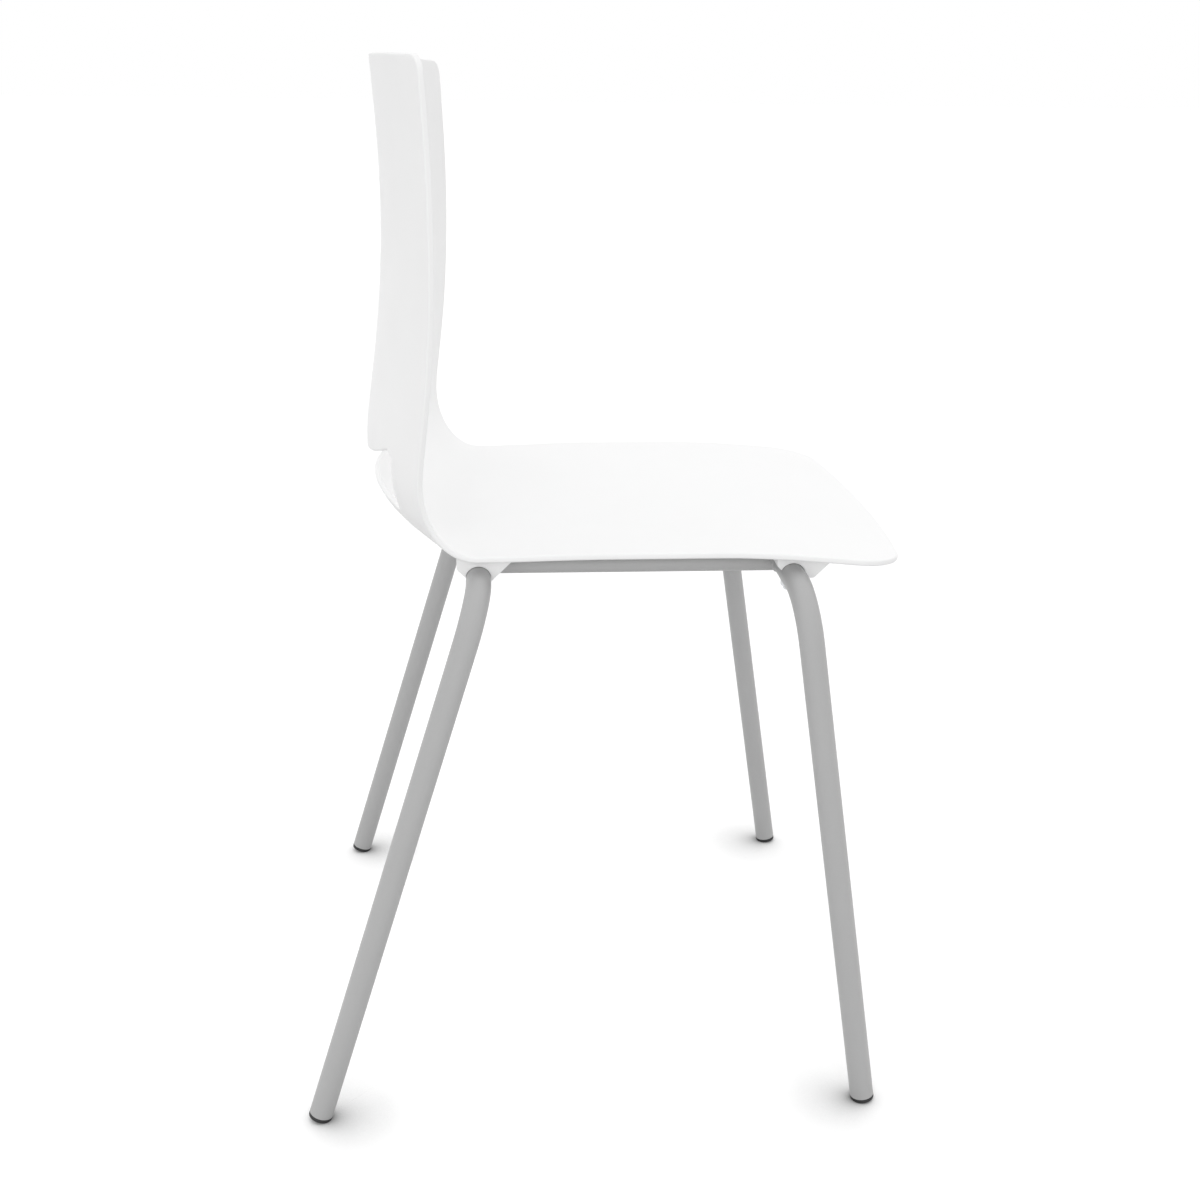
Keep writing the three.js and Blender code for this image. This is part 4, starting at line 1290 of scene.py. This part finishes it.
def glide_section(settings, tube_wall):
    """Sole as wide as the tube, with a rounded foot, and the ribbed plug inside the tube."""
    radius = TUBE_RADIUS
    sole, top = settings.sole, settings.sole + settings.plug
    plug = radius - tube_wall - CLEARANCE
    rib = PLUG_RIB_HEIGHT
    flat = radius - SOLE_ROUNDING
    section = [(flat * i / SOLE_RINGS, 0, "round") for i in range(SOLE_RINGS)]
    section += rounded_corner(radius, 0, SOLE_ROUNDING, "up")
    section += rounded_corner(radius, sole, SOLE_TOP_ROUNDING, "down")
    for i in range(PLUG_RIBS):
        low = lerp(sole, top, i / PLUG_RIBS)
        section += [
            (plug - rib, low, "round"), (plug - rib, low + rib, "round"), (plug, low + 2 * rib, "round")
        ]
    return section + [(plug - rib, top, "round"), (0, top, "round")]


class CHAIR_OT_glides(bpy.types.Operator):
    """Builds the four glides that close the leg ends"""

    bl_idname = "chair.glides"
    bl_label = "Glides"

    def execute(self, context):
        settings = context.scene.chair_glides
        tube = context.scene.chair_frame
        places, axes = [], []
        for end in ENDS:
            for side in SIDES:
                low, high = (foot_point(tube, settings, end, side, distance) for distance in (0, 1))
                places.append(tuple(low))
                axes.append(tuple(high - low))
        part = turned("glide", glide_section(settings, tube.tube_wall))
        glides = set_out("glides", part, places, glide_plastic(settings), axes)
        settle(glides, "glide_plastic", *named_nodes("foot_glide"))
        return {"FINISHED"}


# ---- Stage ----


def stage_camera(settings):
    """The camera, turned by its yaw, pitch and roll from level along +Y."""
    forward = Vector((
        math.sin(settings.yaw) * math.cos(settings.pitch),
        math.cos(settings.yaw) * math.cos(settings.pitch),
        -math.sin(settings.pitch),
    ))
    right = Vector((math.cos(settings.yaw), -math.sin(settings.yaw), 0))
    up = right.cross(forward)
    turn = settings.roll
    right, up = right * math.cos(turn) + up * math.sin(turn), up * math.cos(turn) - right * math.sin(turn)
    data = bpy.data.cameras.new("camera")
    data.sensor_width = SENSOR_WIDTH
    data.lens = settings.lens
    data.clip_end = VIEW_END
    camera = bpy.data.objects.new("camera", data)
    rotation = Matrix((right, up, -forward)).transposed().to_4x4()
    camera.matrix_world = Matrix.Translation(settings.camera) @ rotation
    bpy.context.scene.collection.objects.link(camera)
    bpy.context.scene.camera = camera


def seen_directly(tree):
    """One for a ray from the camera, a glossy ray or a ray through glass."""
    path = add(tree, "ShaderNodeLightPath")
    seen = add(
        tree, "ShaderNodeMath", path.outputs["Is Camera Ray"], path.outputs["Is Glossy Ray"],
        operation="MAXIMUM",
    )
    return add(tree, "ShaderNodeMath", seen, path.outputs["Is Transmission Ray"], operation="MAXIMUM")


def stage_floor(settings):
    """A matt floor. Seen directly it is lifted to white, keeps its shadows, and has painted shade in its
    colour near the feet.
    """
    material = bpy.data.materials.new("studio_floor")
    material.use_nodes = True
    tree = material.node_tree
    tree.nodes.clear()
    matt = add(tree, "ShaderNodeBsdfDiffuse", (*settings.floor, 1))
    # Painted shade: ambient occlusion darkens the floor's colour close to each foot, and its sampling is
    # tilted outward so that the shade leans to the inner side, under the leg.
    place = add(tree, "ShaderNodeTexCoord").outputs["Object"]
    ahead = add(tree, "ShaderNodeSeparateXYZ", place).outputs["X"]
    outward = add(tree, "ShaderNodeMath", ahead, operation="SIGN")
    tilt = add(tree, "ShaderNodeMath", outward, settings.painted_shade_tilt, operation="MULTIPLY")
    way = add(tree, "ShaderNodeCombineXYZ", tilt, 0.0, 1.0)
    way = add(tree, "ShaderNodeVectorMath", way, operation="NORMALIZE")
    near = add(
        tree, "ShaderNodeAmbientOcclusion", ("Distance", settings.painted_shade_reach), ("Normal", way),
        samples=SHADE_SAMPLES,
    )
    shade = add(tree, "ShaderNodeMath", near.outputs["AO"], settings.painted_shade_depth, operation="POWER")
    painted_shade_colour = add(tree, "ShaderNodeCombineColor", shade, shade, shade)
    # The floor seen directly: white, darkened by the painted shade in its colour.
    white = add(tree, "ShaderNodeBsdfDiffuse", painted_shade_colour)
    lift = add(tree, "ShaderNodeEmission", (1, 1, 1, 1), settings.lift)
    lifted = add(tree, "ShaderNodeAddShader", white, lift)
    shown = add(tree, "ShaderNodeMixShader", seen_directly(tree), matt, lifted)
    add(tree, "ShaderNodeOutputMaterial", shown)
    corners = [(FLOOR_REACH * x, FLOOR_REACH * y, 0) for x, y in ((-1, -1), (1, -1), (1, 1), (-1, 1))]
    floor = new_piece("floor", mesh_of("floor", corners, [(0, 1, 2, 3)]), material)


def stage_light(settings):
    """Soft light from all round, and a broad lamp near the camera. Seen directly, the studio is white."""
    world = bpy.data.worlds.new("studio")
    bpy.context.scene.world = world
    world.use_nodes = True
    tree = world.node_tree
    tree.nodes.clear()
    way = add(tree, "ShaderNodeTexCoord").outputs["Generated"]
    parts = add(tree, "ShaderNodeSeparateXYZ", way)
    level = add(tree, "ShaderNodeMapRange", parts.outputs["Z"], 0.0, 1.0, settings.horizon, settings.zenith)
    side = add(tree, "ShaderNodeMath", parts.outputs["Y"], settings.side, 1.0, operation="MULTIPLY_ADD")
    strength = add(tree, "ShaderNodeMath", level.outputs["Result"], side, operation="MULTIPLY")
    soft = add(tree, "ShaderNodeBackground", (1, 1, 1, 1), strength)
    white = add(tree, "ShaderNodeBackground", (1, 1, 1, 1), 1.0)
    shown = add(tree, "ShaderNodeMixShader", seen_directly(tree), soft, white)
    add(tree, "ShaderNodeOutputWorld", shown)
    lamp = bpy.data.lights.new("fill", "AREA")
    lamp.shape = "RECTANGLE"
    lamp.size, lamp.size_y = LAMP_SIZE
    lamp.energy = settings.fill
    fill = bpy.data.objects.new("fill", lamp)
    fill.location = LAMP_PLACE
    fill.rotation_euler = (Vector(LAMP_AIM) - fill.location).to_track_quat("-Z", "Y").to_euler()
    fill.visible_camera = False
    fill.visible_glossy = False
    bpy.context.scene.collection.objects.link(fill)


class CHAIR_OT_stage(bpy.types.Operator):
    """Sets the floor, the light and the camera"""

    bl_idname = "chair.stage"
    bl_label = "Stage"

    def execute(self, context):
        settings = context.scene.chair_stage
        stage_camera(settings)
        stage_floor(settings)
        stage_light(settings)
        context.scene.view_settings.view_transform = "Standard"
        return {"FINISHED"}


# ---- Panel and registration ----


class CHAIR_PT_build(bpy.types.Panel):
    """Lists the chair's pieces and their settings"""

    bl_label = "Stacking chair"
    bl_space_type = "VIEW_3D"
    bl_region_type = "UI"
    bl_category = "Chair"

    def draw(self, context):
        for attribute_name, operators in GROUPS:
            box = self.layout.box()
            settings = getattr(context.scene, attribute_name)
            for name in settings.__annotations__:
                box.prop(settings, name)
            for operator in operators:
                box.operator(operator.bl_idname)


GROUPS = (
    ("chair_shell", (CHAIR_OT_shell,)),
    ("chair_frame", (CHAIR_OT_leg_loops, CHAIR_OT_rails)),
    ("chair_saddles", (CHAIR_OT_saddles,)),
    ("chair_fastenings", (CHAIR_OT_fastenings,)),
    ("chair_glides", (CHAIR_OT_glides,)),
    ("chair_stage", (CHAIR_OT_stage,)),
)
SETTINGS = {
    "chair_shell": ShellSettings,
    "chair_frame": FrameSettings,
    "chair_saddles": SaddleSettings,
    "chair_fastenings": FasteningSettings,
    "chair_glides": GlideSettings,
    "chair_stage": StageSettings,
}
OPERATORS = [operator for _, operators in GROUPS for operator in operators]
CLASSES = [*SETTINGS.values(), *OPERATORS, CHAIR_PT_build]


def register():
    for kind in CLASSES:
        bpy.utils.register_class(kind)
    for name, settings in SETTINGS.items():
        setattr(bpy.types.Scene, name, PointerProperty(type=settings))


def unregister():
    for name in SETTINGS:
        delattr(bpy.types.Scene, name)
    for kind in reversed(CLASSES):
        bpy.utils.unregister_class(kind)


def main():
    register()
    bpy.ops.chair.shell()
    bpy.ops.chair.leg_loops()
    bpy.ops.chair.rails()
    bpy.ops.chair.saddles()
    bpy.ops.chair.fastenings()
    bpy.ops.chair.glides()
    bpy.ops.chair.stage()


if __name__ == "__main__":
    main()
